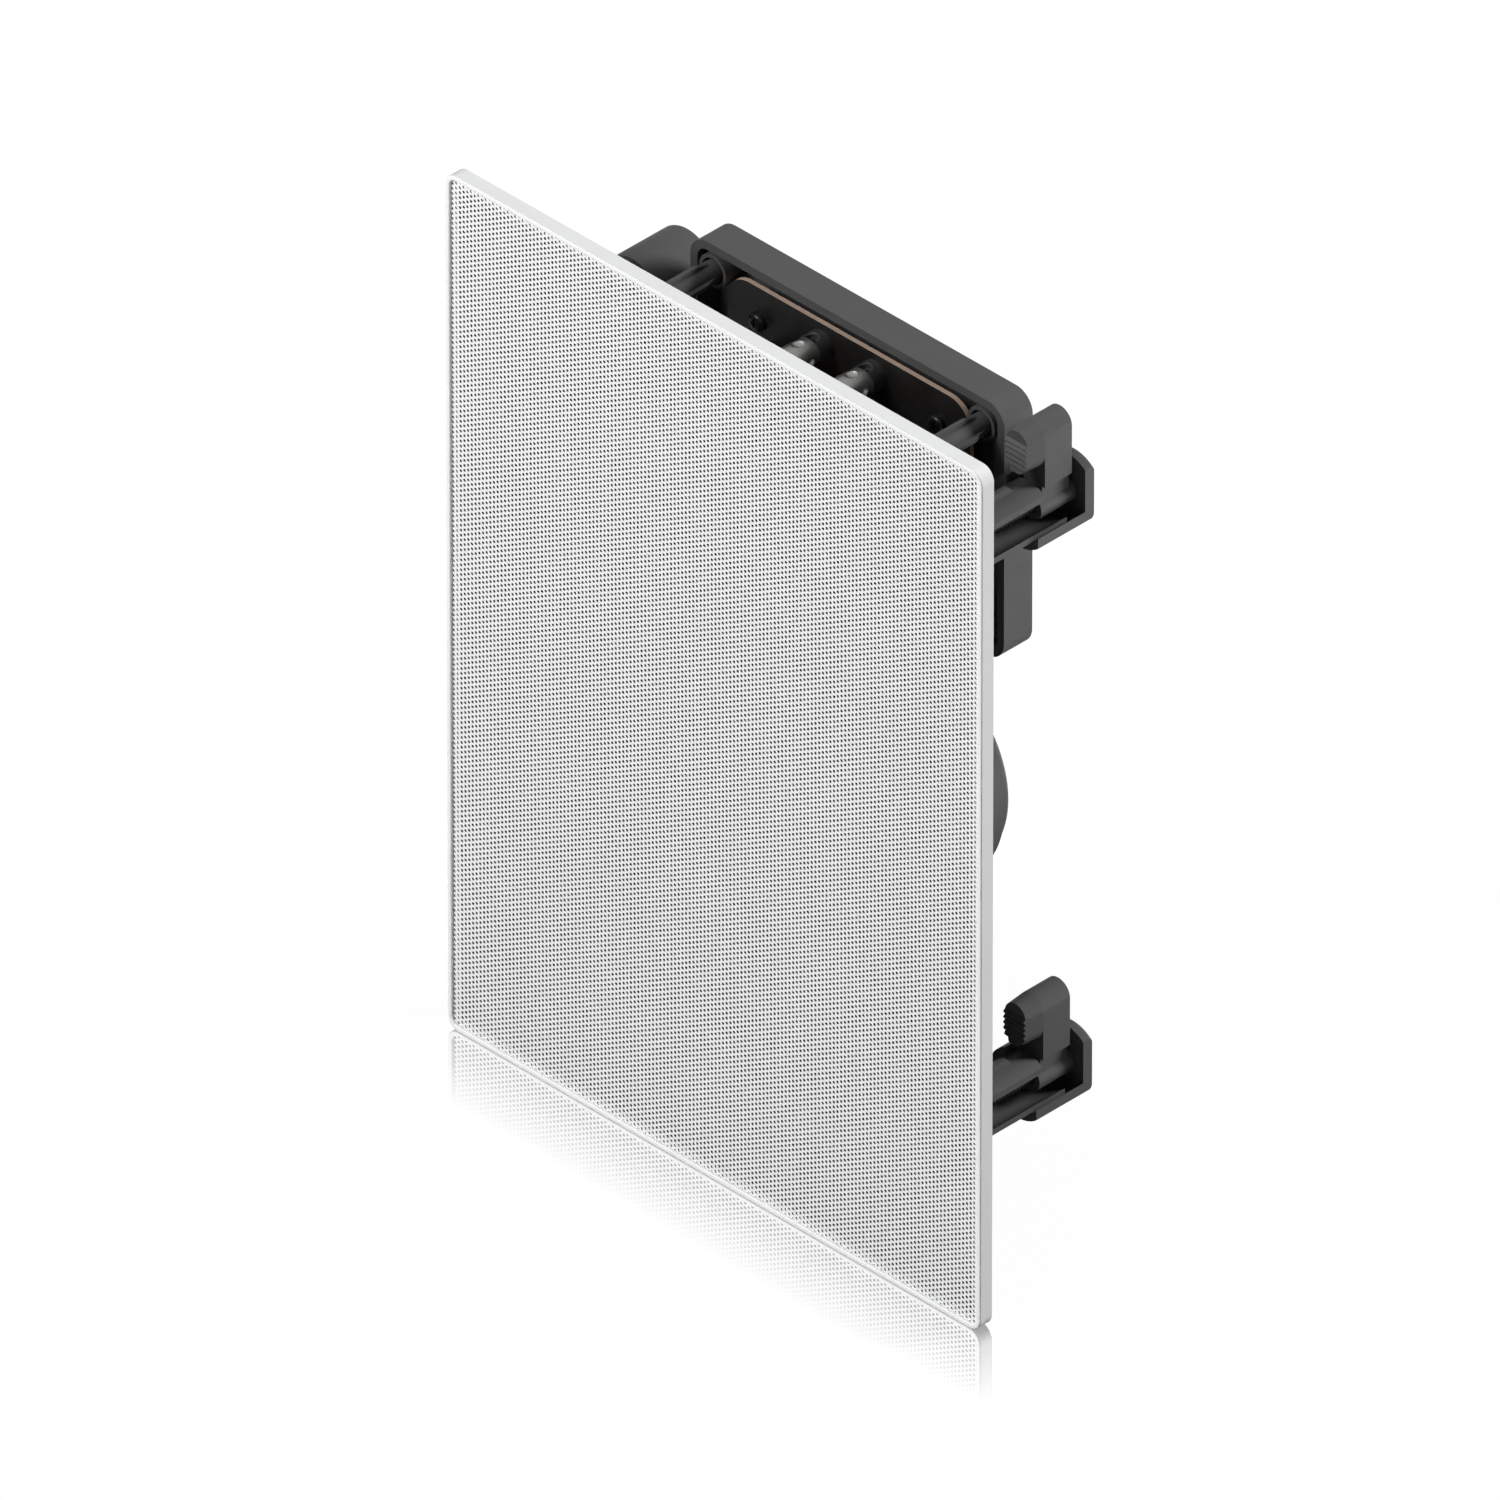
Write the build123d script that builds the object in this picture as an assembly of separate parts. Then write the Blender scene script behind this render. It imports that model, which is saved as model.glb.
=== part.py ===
from build123d import *
import os

# In-wall loudspeaker with a magnetic perforated grille and four swing-out wall clamps.
# Millimetres. +X is right as seen from the room, +Y goes into the wall, +Z is up.
# The origin is the middle of the wall plane, where the flange rests on the wall.

# Grille
GRILLE_DEPTH = 4.9
GRILLE_CORNER = 4.5
GRILLE_EDGE = 0.5
RIM_WIDTH = 1.7
PANEL_RECESS = 1.0
PANEL_THICKNESS = 0.4
PANEL_GAP = 0.05
LEDGE_WIDTH = 2.4
LEDGE_THICKNESS = 0.9
OPENING_RADIUS = 7.0
OPENING_MARGIN = 1.0
OPENING_COLUMNS = 9
OPENING_ROWS = 13
GRILLE_SEAT_GAP = 0.2
GRILLE_MAGNET_RADIUS = 4.0
GRILLE_MAGNET_THICKNESS = 2.0
MAGNET_POCKET_GAP = 0.1

# Baffle
FLANGE_SIDE_GAP = 0.5
FLANGE_REACH_SIDE = 15.5
FLANGE_REACH_END = 15.0
BODY_CORNER = 8.0
BODY_WALL = 2.5
PLATE_RECESS = 8.0
PLATE_THICKNESS = 3.0
SKIRT_LIP = 3.0
BASKET_SIDE_GAP = 7.5
BASKET_END_GAP = 7.9
DRIVER_GAP = 5.6
TWEETER_END_GAP = 11.5

# Clamp towers
CLAMP_SIDE_INSET = 14.8
CLAMP_TRAY_GAP = 2.95
CLAMP_END_INSET = 35.0
ARM_RADIUS = 9.2
ARM_WALL = 1.4
ARM_SET_BACK = 1.56
RIM_PLANE = 7.66
ARM_LENGTH = 29.8
BUCKET_STEP = 2.55
BUCKET_WALL = 2.35
BUCKET_EDGE = 1.2
LINER_LENGTH = 13.2
BUCKET_LENGTH = 22.7
BUCKET_DISC = 3.6
LIP_REACH = 4.0
SWING_GAP = 0.3
ARM_RIB_THICKNESS = 1.5
ARM_RIB_HEIGHT = 2.3
ARM_RIB_LENGTH = 26.7
ARM_RIB_CHAMFER = 2.0
FOOT_WIDTH = 13.0
FOOT_THICKNESS = 3.0
FOOT_SCREW_PITCH = 33.0
FOOT_BOSS_RADIUS = 3.4
FOOT_BOSS_LENGTH = 8.0

# Clamp ears
HUB_WALL = 2.4
HUB_REACH = 1.0
NECK_WIDTH = 7.1
BLADE_FOOT = 8.0
EAR_WIDTH = 9.6
EAR_REACH = 29.3
EAR_LENGTH = 10.9
EAR_LIP_GAP = 1.6
TOE_HEIGHT = 15.3
TOE_LENGTH = 6.6
TOE_TAPER = 5.0
TOOTH_PITCH = 1.9
TOOTH_DEPTH = 0.9
TOOTH_COUNT = 6
TOOTH_LOWER_FLANK = 1.15
TOOTH_DROP = 2.1

# Screws
CLAMP_SCREW_RADIUS = 2.0
CLAMP_HEAD_RADIUS = 4.0
CLAMP_HEAD_HEIGHT = 2.8
CLAMP_TIP_SEAT = 1.5
DRIVE_LENGTH = 4.4
DRIVE_WIDTH = 1.0
DRIVE_DEPTH = 1.6
RUNNING_GAP = 0.08
SCREW_HOLE_GAP = 0.3
SMALL_SCREW_RADIUS = 1.45
SMALL_HEAD_RADIUS = 3.0
SMALL_HEAD_HEIGHT = 2.2
SMALL_SCREW_GRIP = 5.5
PILOT_GAP = 0.05

# Crossover tray and its posts
TRAY_END_INSET = 11.0
TRAY_DEPTH = 11.5
TRAY_CORNER = 6.8
TRAY_WALL = 2.85
TRAY_FLOOR = 2.5
POST_SIDE_INSET = 9.2
POST_END_INSET = 9.0
POST_LENGTH = 38.6
POST_RADIUS = 3.5
POST_RIB_RADIUS = 5.0
POST_RIB_THICKNESS = 1.3
POST_RIB_END_GAP = 2.0
COLLAR_RADIUS = 5.45
COLLAR_SOCKET_RADIUS = 4.3
COLLAR_SOCKET_DEPTH = 3.0
COLLAR_STANDS_PROUD = 0.2
TRAY_SCREW_SINK = 2.4

# Crossover board and what is on it
BOARD_SIDE_GAP = 14.5
BOARD_END_GAP = 6.5
BOARD_BOTTOM_GAP = 4.8
BOARD_THICKNESS = 1.6
BOARD_CORNER = 8.5
BOARD_SET_BACK = 0.6
BOARD_SCREW_SIDE_INSET = 12.7
BOARD_SCREW_END_INSET = 11.5
BOARD_BOSS_RADIUS = 3.2
INDUCTOR_X = 22.0
INDUCTOR_GAP = 1.5
INDUCTOR_RADIUS = 12.1
INDUCTOR_CORE_RADIUS = 6.5
INDUCTOR_LENGTH = 12.0
BOBBIN_FLANGE = 1.2
BOBBIN_WALL = 1.0
FILM_CAP_RADIUS = 6.0
FILM_CAP_LENGTH = 30.0
FILM_CAP_MIDDLE_GAP = 0.8
FILM_CAP_SCREW_GAP = 2.5
FILM_CAP_TOP_GAP = 2.5
BOX_CAP_WIDTH = 6.0
BOX_CAP_HEIGHT = 6.0
BOX_CAP_DEPTH = 5.5
BOX_CAP_X = 28.4
BOX_CAP_INSET = 16.3
RESISTOR_LENGTH = 25.0
RESISTOR_SIDE = 6.4
RESISTOR_GAP = 0.8

# Terminals
TERMINAL_X = 10.75
TERMINAL_INSET = 7.0
TERMINAL_BASE_RADIUS = 4.75
TERMINAL_BASE_LENGTH = 5.2
STUD_RADIUS = 2.8
STUD_TAIL_RADIUS = 1.6
STUD_TAIL_LENGTH = 4.3
STUD_END_GAP = 1.0
WIRE_HOLE_RADIUS = 1.9
WIRE_HOLE_SET_BACK = 1.0
WIRE_HOLE_ROUND = 0.4
STUD_HOLE_RADIUS = 1.7
KNOB_LENGTH = 11.0
KNOB_REAR_RADIUS = 4.45
KNOB_FRONT_RADIUS = 5.18
KNOB_GAP = 0.15
KNOB_BORE_DEPTH = 7.4
KNOB_EDGE = 0.6
DIMPLE_SET_BACK = 4.4
DIMPLE_SPHERE = 3.2
DIMPLE_DEPTH = 0.9

# Woofer
BASKET_RADIUS = 83.0
BASKET_RIM = 13.0
BASKET_FLANGE = 2.0
BASKET_SHEET = 1.8
BASKET_NECK_RADIUS = 41.5
BASKET_SHELF_WIDTH = 5.5
BASKET_SHELF_DEPTH = 30.0
BASKET_DEPTH = 40.0
BASKET_WINDOWS = 8
WINDOW_ANGLE = 26.0
WOOFER_HOLE_GAP = 1.5
TRIM_WIDTH = 7.8
TRIM_THICKNESS = 1.6
WOOFER_SCREW_COUNT = 6
SURROUND_SKIN = 0.8
ROLL_RADIUS = 5.75
SURROUND_LIP = 5.0
SURROUND_EDGE_GAP = 0.3
CONE_GAP = 0.3
CONE_SKIN = 1.0
CONE_LIP = 4.0
CONE_HEIGHT = 20.2
CONE_BOW = 2.0
DUST_CAP_RADIUS = 18.5
DUST_CAP_RISE = 7.5
DUST_CAP_SKIN = 0.8
SPIDER_SKIN = 0.8
SPIDER_WAVES = 5
SPIDER_WAVE_HEIGHT = 1.4
POLE_RADIUS = 12.2
COIL_GAP = 0.4
FORMER_SKIN = 0.5
WINDING_SKIN = 0.4
WINDING_LENGTH = 9.0
WINDING_OVERHANG = 1.2
TOP_PLATE_STEP = 1.8
TOP_PLATE_THICKNESS = 6.5
FERRITE_RADIUS = 36.4
FERRITE_HOLE_RADIUS = 17.5
FERRITE_THICKNESS = 20.0
YOKE_STEP = 2.5
YOKE_THICKNESS = 5.35
COVER_WALL = 1.0
COVER_GAP = 0.2
COVER_BACK = 1.6
COVER_SHOULDER = 1.7
COVER_EDGE = 2.0

# Tweeter
FACEPLATE_OVERLAP = 10.0
FACEPLATE_THICKNESS = 3.0
HORN_MOUTH_RADIUS = 24.0
HORN_THROAT_RADIUS = 14.5
FACEPLATE_SCREW_INSET = 5.5
FACEPLATE_SCREW_COUNT = 4
DOME_RADIUS = 12.7
DOME_RISE = 4.0
DOME_SKIN = 0.6
DOME_LIP_RADIUS = 17.0
TWEETER_COIL_LENGTH = 5.0
TWEETER_YOKE_RADIUS = 17.5
TWEETER_YOKE_DEPTH = 15.4
TWEETER_YOKE_FLOOR = 3.0
TWEETER_POLE_THICKNESS = 3.0
TWEETER_MAGNET_RADIUS = 10.0
REAR_CUP_RADIUS = 25.5
REAR_CUP_WALL = 2.0
TWEETER_HOLE_GAP = 1.5

# Widths, heights and places that follow, from the board's parts and the drivers outwards
BOBBIN_RADIUS = INDUCTOR_RADIUS + BOBBIN_WALL / 2
FILM_CAP_X = FILM_CAP_MIDDLE_GAP + FILM_CAP_LENGTH / 2
BOARD_SCREW_X = FILM_CAP_X + FILM_CAP_LENGTH / 2 + FILM_CAP_SCREW_GAP + SMALL_HEAD_RADIUS
BOARD_WIDTH = 2 * (BOARD_SCREW_X + BOARD_SCREW_SIDE_INSET)
TRAY_WIDTH = BOARD_WIDTH + 2 * BOARD_SIDE_GAP
UPPER_STACK = BOX_CAP_INSET + BOX_CAP_HEIGHT + INDUCTOR_GAP + 2 * BOBBIN_RADIUS
LOWER_STACK = FILM_CAP_TOP_GAP + 2 * FILM_CAP_RADIUS + RESISTOR_GAP + RESISTOR_SIDE + BOARD_BOTTOM_GAP
BOARD_HEIGHT = UPPER_STACK + LOWER_STACK
TRAY_HEIGHT = BOARD_HEIGHT + 2 * BOARD_END_GAP
BUCKET_RADIUS = ARM_RADIUS + BUCKET_STEP
FACEPLATE_RADIUS = REAR_CUP_RADIUS + TWEETER_HOLE_GAP + FACEPLATE_OVERLAP
WOOFER_ROOM = BASKET_RADIUS + BASKET_SIDE_GAP + BODY_WALL
CLAMP_ROOM = TRAY_WIDTH / 2 + CLAMP_TRAY_GAP + BUCKET_RADIUS + CLAMP_SIDE_INSET
BODY_WIDTH = 2 * max(WOOFER_ROOM, CLAMP_ROOM)
DRIVER_STACK = 2 * BASKET_RADIUS + DRIVER_GAP + 2 * FACEPLATE_RADIUS
BODY_HEIGHT = DRIVER_STACK + BASKET_END_GAP + TWEETER_END_GAP + 2 * BODY_WALL
GRILLE_WIDTH = BODY_WIDTH + 2 * FLANGE_REACH_SIDE
GRILLE_HEIGHT = BODY_HEIGHT + 2 * FLANGE_REACH_END
WOOFER_Z = -BODY_HEIGHT / 2 + BODY_WALL + BASKET_END_GAP + BASKET_RADIUS
TWEETER_Z = WOOFER_Z + BASKET_RADIUS + DRIVER_GAP + FACEPLATE_RADIUS
MAGNET_SIDE = (BODY_WIDTH + GRILLE_WIDTH) / 4 - RIM_WIDTH
MAGNET_END = (BODY_HEIGHT + GRILLE_HEIGHT) / 4 - RIM_WIDTH
CLAMP_X = BODY_WIDTH / 2 - CLAMP_SIDE_INSET
CLAMP_Z = BODY_HEIGHT / 2 - CLAMP_END_INSET
TRAY_Z = BODY_HEIGHT / 2 - TRAY_END_INSET - TRAY_HEIGHT / 2
BOARD_TOP = TRAY_Z + BOARD_HEIGHT / 2
BOARD_SCREW_RISE = BOARD_HEIGHT / 2 - BOARD_SCREW_END_INSET
BOX_CAP_TOP = BOARD_TOP - BOX_CAP_INSET
INDUCTOR_Z = BOX_CAP_TOP - BOX_CAP_HEIGHT - INDUCTOR_GAP - BOBBIN_RADIUS
FILM_CAP_Z = INDUCTOR_Z - BOBBIN_RADIUS - FILM_CAP_TOP_GAP - FILM_CAP_RADIUS
RESISTOR_Z = FILM_CAP_Z - FILM_CAP_RADIUS - RESISTOR_GAP - RESISTOR_SIDE / 2
TERMINAL_Z = BOARD_TOP - TERMINAL_INSET
POST_X = TRAY_WIDTH / 2 - POST_SIDE_INSET
POST_RISE = TRAY_HEIGHT / 2 - POST_END_INSET

# Depths that follow from the sizes above, measured from the wall plane
GRILLE_FRONT = -GRILLE_DEPTH
PANEL_FRONT = GRILLE_FRONT + PANEL_RECESS
PANEL_BACK = PANEL_FRONT + PANEL_THICKNESS
LEDGE_BACK = PANEL_BACK + LEDGE_THICKNESS
FLANGE_FRONT = LEDGE_BACK + GRILLE_SEAT_GAP
PLATE_FRONT = PLATE_RECESS
PLATE_BACK = PLATE_FRONT + PLATE_THICKNESS
BUCKET_FRONT = PLATE_BACK + ARM_LENGTH
LIP_END = BUCKET_FRONT + LIP_REACH
BUCKET_BACK = BUCKET_FRONT + BUCKET_LENGTH
DISC_FRONT = BUCKET_BACK - BUCKET_DISC
LINER_END = BUCKET_FRONT + LINER_LENGTH
EAR_FRONT = LIP_END + EAR_LIP_GAP
EAR_BACK = EAR_FRONT + EAR_LENGTH
HUB_FRONT = EAR_FRONT - HUB_REACH
HUB_BACK = DISC_FRONT - SWING_GAP
TRAY_FRONT = PLATE_BACK + POST_LENGTH
TRAY_BACK = TRAY_FRONT + TRAY_DEPTH
TRAY_INSIDE = TRAY_BACK - TRAY_FLOOR
COLLAR_FRONT = TRAY_FRONT - COLLAR_STANDS_PROUD
POST_END = COLLAR_FRONT + COLLAR_SOCKET_DEPTH
BOARD_FRONT = TRAY_FRONT + BOARD_SET_BACK
BOARD_BACK = BOARD_FRONT + BOARD_THICKNESS
TERMINAL_FRONT = BOARD_FRONT - TERMINAL_BASE_LENGTH
WIRE_HOLE_Y = TERMINAL_FRONT + WIRE_HOLE_SET_BACK
KNOB_BACK = TERMINAL_FRONT - KNOB_GAP
KNOB_FRONT = KNOB_BACK - KNOB_LENGTH
BASKET_FRONT = PLATE_FRONT - BASKET_FLANGE
SHELF_BACK = PLATE_FRONT + BASKET_SHELF_DEPTH
SHELF_FRONT = SHELF_BACK - BASKET_SHEET
BASKET_BACK = PLATE_FRONT + BASKET_DEPTH
FERRITE_FRONT = BASKET_BACK + TOP_PLATE_THICKNESS
YOKE_FRONT = FERRITE_FRONT + FERRITE_THICKNESS
YOKE_BACK = YOKE_FRONT + YOKE_THICKNESS
COVER_END = YOKE_BACK + COVER_BACK
CONE_FRONT = BASKET_FRONT + CONE_GAP
FACEPLATE_FRONT = PLATE_FRONT - FACEPLATE_THICKNESS
DOME_BACK = PLATE_FRONT + DOME_SKIN
TWEETER_YOKE_BACK = DOME_BACK + TWEETER_YOKE_DEPTH
REAR_CUP_END = TWEETER_YOKE_BACK + REAR_CUP_WALL

# Radii that follow
ARM_BORE_RADIUS = ARM_RADIUS - ARM_WALL
BUCKET_BORE_RADIUS = BUCKET_RADIUS - BUCKET_WALL
ARM_PLANE = RIM_PLANE - ARM_SET_BACK
ARM_RIB_RADIUS = ARM_RADIUS + ARM_RIB_HEIGHT
HUB_RADIUS = CLAMP_SCREW_RADIUS + HUB_WALL
BASKET_MOUTH_RADIUS = BASKET_RADIUS - BASKET_RIM
BASKET_SHELF_RADIUS = BASKET_NECK_RADIUS + BASKET_SHELF_WIDTH
SURROUND_RADIUS = BASKET_RADIUS - TRIM_WIDTH - SURROUND_EDGE_GAP
ROLL_MIDDLE = SURROUND_RADIUS - SURROUND_LIP - SURROUND_SKIN / 2 - ROLL_RADIUS
TOP_PLATE_RADIUS = FERRITE_RADIUS - TOP_PLATE_STEP
YOKE_RADIUS = FERRITE_RADIUS - YOKE_STEP
COVER_RADIUS = FERRITE_RADIUS + COVER_GAP + COVER_WALL
COVER_END_RADIUS = YOKE_RADIUS + COVER_GAP + COVER_WALL
FACEPLATE_SCREW_RADIUS = FACEPLATE_RADIUS - FACEPLATE_SCREW_INSET
FORMER_INNER = POLE_RADIUS + COIL_GAP
FORMER_OUTER = FORMER_INNER + FORMER_SKIN
WINDING_OUTER = FORMER_OUTER + WINDING_SKIN
GAP_RADIUS = WINDING_OUTER + COIL_GAP
CONE_RADIUS = ROLL_MIDDLE - ROLL_RADIUS - CONE_GAP
CONE_BODY_RADIUS = CONE_RADIUS - CONE_LIP
WOOFER_HOLE_RADIUS = BASKET_MOUTH_RADIUS + WOOFER_HOLE_GAP
TRIM_SCREW_RADIUS = BASKET_RADIUS - TRIM_WIDTH / 2
DOME_COIL_RADIUS = DOME_RADIUS - DOME_SKIN
TWEETER_POLE_RADIUS = DOME_COIL_RADIUS - FORMER_SKIN - COIL_GAP
TWEETER_BORE_RADIUS = DOME_COIL_RADIUS + COIL_GAP

CLAMP_CORNERS = ("upper_right", "lower_right", "upper_left", "lower_left")


def slab(outline, front, back):
    """A solid whose outline, drawn in X and Z, runs from one depth to another."""
    return extrude(Plane.XZ.offset(-back) * outline, amount=back - front)


def rod(radius, front, back, x=0.0, z=0.0):
    """A round bar along Y."""
    return slab(Pos(x, z) * Circle(radius), front, back)


def turned(*points):
    """A turned solid about the Y axis, from (radius, depth) points."""
    return revolve(make_face(Polyline(*points, close=True)), axis=Axis.Y)


def screw(head_radius, head_height, shank_radius, seat, tip):
    """A pan-head screw along Y whose head sits on the seat."""
    outward = -1 if tip > seat else 1
    top = seat + outward * head_height
    shoulder = seat + outward * head_height / 2
    return turned(
        (0, top),
        (0.7 * head_radius, top),
        (head_radius, shoulder),
        (head_radius, seat),
        (shank_radius, seat),
        (shank_radius, tip),
        (0, tip),
    )


def mirrored_places(x, z):
    """The four places at plus and minus x and z."""
    return [(sx * x, sz * z) for sx in (1, -1) for sz in (1, -1)]


def ring_places(radius, count, first_angle, z):
    """Places evenly spaced on a circle round (0, z)."""
    start = Vector(radius, 0, 0)
    turns = [start.rotate(Axis.Z, first_angle + 360 * i / count) for i in range(count)]
    return [(turn.X, turn.Y + z) for turn in turns]


def group(solids):
    """Several separate solids kept together in one node."""
    return Compound(children=[solid.solid() for solid in solids])


# Grille


def grille_outline(inset):
    """The grille's rounded rectangle, drawn in by an inset."""
    width = GRILLE_WIDTH - 2 * inset
    height = GRILLE_HEIGHT - 2 * inset
    return RectangleRounded(width, height, max(GRILLE_CORNER - inset, GRILLE_EDGE))


def grille_frame():
    rim = slab(grille_outline(0) - grille_outline(RIM_WIDTH), GRILLE_FRONT, 0)
    rim = fillet(rim.edges().group_by(Axis.Y)[0], GRILLE_EDGE)
    ledge_outline = grille_outline(RIM_WIDTH) - grille_outline(RIM_WIDTH + LEDGE_WIDTH)
    return rim + slab(ledge_outline, PANEL_BACK, LEDGE_BACK)


def grille_mesh():
    """Thin sheet with a plain grid of round openings that keeps clear of the magnets."""
    inset = GRILLE_MAGNET_RADIUS + OPENING_MARGIN + OPENING_RADIUS
    column_pitch = 2 * (MAGNET_SIDE - inset) / (OPENING_COLUMNS - 1)
    row_pitch = 2 * (MAGNET_END - inset) / (OPENING_ROWS - 1)
    outline = grille_outline(RIM_WIDTH + PANEL_GAP)
    grid = GridLocations(column_pitch, row_pitch, OPENING_COLUMNS, OPENING_ROWS)
    outline -= grid * Circle(OPENING_RADIUS)
    return slab(outline, PANEL_FRONT, PANEL_BACK)


def grille_magnet_places():
    sides = [(sign * MAGNET_SIDE, z) for sign in (1, -1) for z in (-CLAMP_Z, 0, CLAMP_Z)]
    return sides + [(0, MAGNET_END), (0, -MAGNET_END)]


def grille_magnets():
    back = PANEL_BACK + GRILLE_MAGNET_THICKNESS
    return group([rod(GRILLE_MAGNET_RADIUS, PANEL_BACK, back, x, z) for x, z in grille_magnet_places()])


# Baffle


def post_places():
    return [(x, z + TRAY_Z) for x, z in mirrored_places(POST_X, POST_RISE)]


def tray_post(x, z):
    """A round post with four ribs that stop short of the tray."""
    rib_end = COLLAR_FRONT - POST_RIB_END_GAP
    span = 2 * POST_RIB_RADIUS
    cross = Rectangle(span, POST_RIB_THICKNESS) + Rectangle(POST_RIB_THICKNESS, span)
    ribs = slab(cross, PLATE_BACK, rib_end)
    taper = turned(
        (0, PLATE_BACK),
        (POST_RIB_RADIUS, PLATE_BACK),
        (POST_RIB_RADIUS, rib_end - POST_RIB_RADIUS),
        (POST_RADIUS, rib_end),
        (0, rib_end),
    )
    post = rod(POST_RADIUS, PLATE_BACK, POST_END) + (ribs & taper)
    post -= rod(SMALL_SCREW_RADIUS + PILOT_GAP, POST_END - SMALL_SCREW_GRIP, POST_END)
    return Pos(x, 0, z) * post


def clamp_places():
    return mirrored_places(CLAMP_X, CLAMP_Z)


def foot_screw_places():
    return [(x, z + sign * FOOT_SCREW_PITCH / 2) for x, z in clamp_places() for sign in (1, -1)]


def woofer_screw_places():
    return ring_places(TRIM_SCREW_RADIUS, WOOFER_SCREW_COUNT, 0, WOOFER_Z)


def faceplate_screw_places():
    return ring_places(FACEPLATE_SCREW_RADIUS, FACEPLATE_SCREW_COUNT, 45, TWEETER_Z)


def baffle():
    """Flange, skirt and recessed plate in one moulding, with the posts that carry the tray."""
    edge = RIM_WIDTH + FLANGE_SIDE_GAP
    body = RectangleRounded(BODY_WIDTH, BODY_HEIGHT, BODY_CORNER)
    inner_corner = max(BODY_CORNER - BODY_WALL, GRILLE_EDGE)
    inside = RectangleRounded(BODY_WIDTH - 2 * BODY_WALL, BODY_HEIGHT - 2 * BODY_WALL, inner_corner)
    moulding = slab(grille_outline(edge) - inside, FLANGE_FRONT, 0)
    moulding += slab(body - inside, 0, PLATE_BACK + SKIRT_LIP)
    plate = inside - Pos(0, WOOFER_Z) * Circle(WOOFER_HOLE_RADIUS)
    plate -= Pos(0, TWEETER_Z) * Circle(REAR_CUP_RADIUS + TWEETER_HOLE_GAP)
    plate -= [Pos(x, z) * Circle(CLAMP_SCREW_RADIUS + SCREW_HOLE_GAP) for x, z in clamp_places()]
    small_holes = foot_screw_places() + woofer_screw_places() + faceplate_screw_places()
    plate -= [Pos(x, z) * Circle(SMALL_SCREW_RADIUS + PILOT_GAP) for x, z in small_holes]
    moulding += slab(plate, PLATE_FRONT, PLATE_BACK)
    pocket_radius = GRILLE_MAGNET_RADIUS + MAGNET_POCKET_GAP
    pocket_floor = PANEL_BACK + GRILLE_MAGNET_THICKNESS
    moulding -= [rod(pocket_radius, FLANGE_FRONT, pocket_floor, x, z) for x, z in grille_magnet_places()]
    moulding += [tray_post(x, z) for x, z in post_places()]
    return moulding


# Wall clamps, drawn with the screw on the Y axis, outboard side towards +X and the ear stowed upwards


def swing_space(front, back):
    """The quadrant that the ear sweeps, from straight up to straight outboard."""
    near = EAR_WIDTH / 2 + SWING_GAP
    size = 2 * BUCKET_RADIUS
    return slab(Pos(size / 2 - near, size / 2 - near) * Rectangle(size, size), front, back)


def clamp_tower():
    """Slotted arm that lines a bucket, which is open over the quadrant that the ear sweeps."""
    bucket = rod(BUCKET_RADIUS, BUCKET_FRONT, BUCKET_BACK)
    bucket = fillet(bucket.edges().group_by(Axis.Y)[-1], BUCKET_EDGE)
    bucket -= swing_space(BUCKET_FRONT, DISC_FRONT)
    arm = rod(ARM_RADIUS, PLATE_BACK, BUCKET_FRONT)
    lip = rod(ARM_RADIUS, BUCKET_FRONT, LIP_END)
    foot_height = FOOT_SCREW_PITCH + 2 * FOOT_BOSS_RADIUS
    foot_outline = Pos(-FOOT_WIDTH / 8) * RectangleRounded(FOOT_WIDTH, foot_height, FOOT_BOSS_RADIUS)
    foot = slab(foot_outline, PLATE_BACK, PLATE_BACK + FOOT_THICKNESS)
    screw_heights = (FOOT_SCREW_PITCH / 2, -FOOT_SCREW_PITCH / 2)
    bosses = [rod(FOOT_BOSS_RADIUS, PLATE_BACK, PLATE_BACK + FOOT_BOSS_LENGTH, 0, z) for z in screw_heights]
    rib_end = PLATE_BACK + ARM_RIB_LENGTH
    rib_start = ARM_BORE_RADIUS
    rib_profile = Polyline(
        (PLATE_BACK, rib_start),
        (PLATE_BACK, ARM_RIB_RADIUS),
        (rib_end - ARM_RIB_CHAMFER, ARM_RIB_RADIUS),
        (rib_end, ARM_RIB_RADIUS - ARM_RIB_CHAMFER),
        (rib_end, rib_start),
        close=True,
    )
    rib = extrude(Plane.YZ * make_face(rib_profile), amount=ARM_RIB_THICKNESS / 2, both=True)
    tower = bucket + arm + lip + foot + bosses + rib
    tower -= rod(ARM_BORE_RADIUS, PLATE_BACK, DISC_FRONT)
    tower -= rod(BUCKET_BORE_RADIUS, LINER_END, DISC_FRONT)
    tip_hole_end = DISC_FRONT + CLAMP_TIP_SEAT + SCREW_HOLE_GAP
    tower -= rod(CLAMP_SCREW_RADIUS + SCREW_HOLE_GAP, DISC_FRONT, tip_hole_end)
    pilot_radius = SMALL_SCREW_RADIUS + PILOT_GAP
    pilot_end = PLATE_BACK + SMALL_SCREW_GRIP
    tower -= [rod(pilot_radius, PLATE_BACK, pilot_end, 0, z) for z in screw_heights]
    outboard = Rectangle(2 * BUCKET_RADIUS, 2 * foot_height)
    tower -= slab(Pos(RIM_PLANE + BUCKET_RADIUS, 0) * outboard, PLATE_BACK, BUCKET_BACK)
    slot = Pos(ARM_PLANE + BUCKET_RADIUS, 0) * outboard & Circle(BUCKET_BORE_RADIUS)
    return tower - slab(slot, PLATE_BACK, LINER_END)


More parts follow.
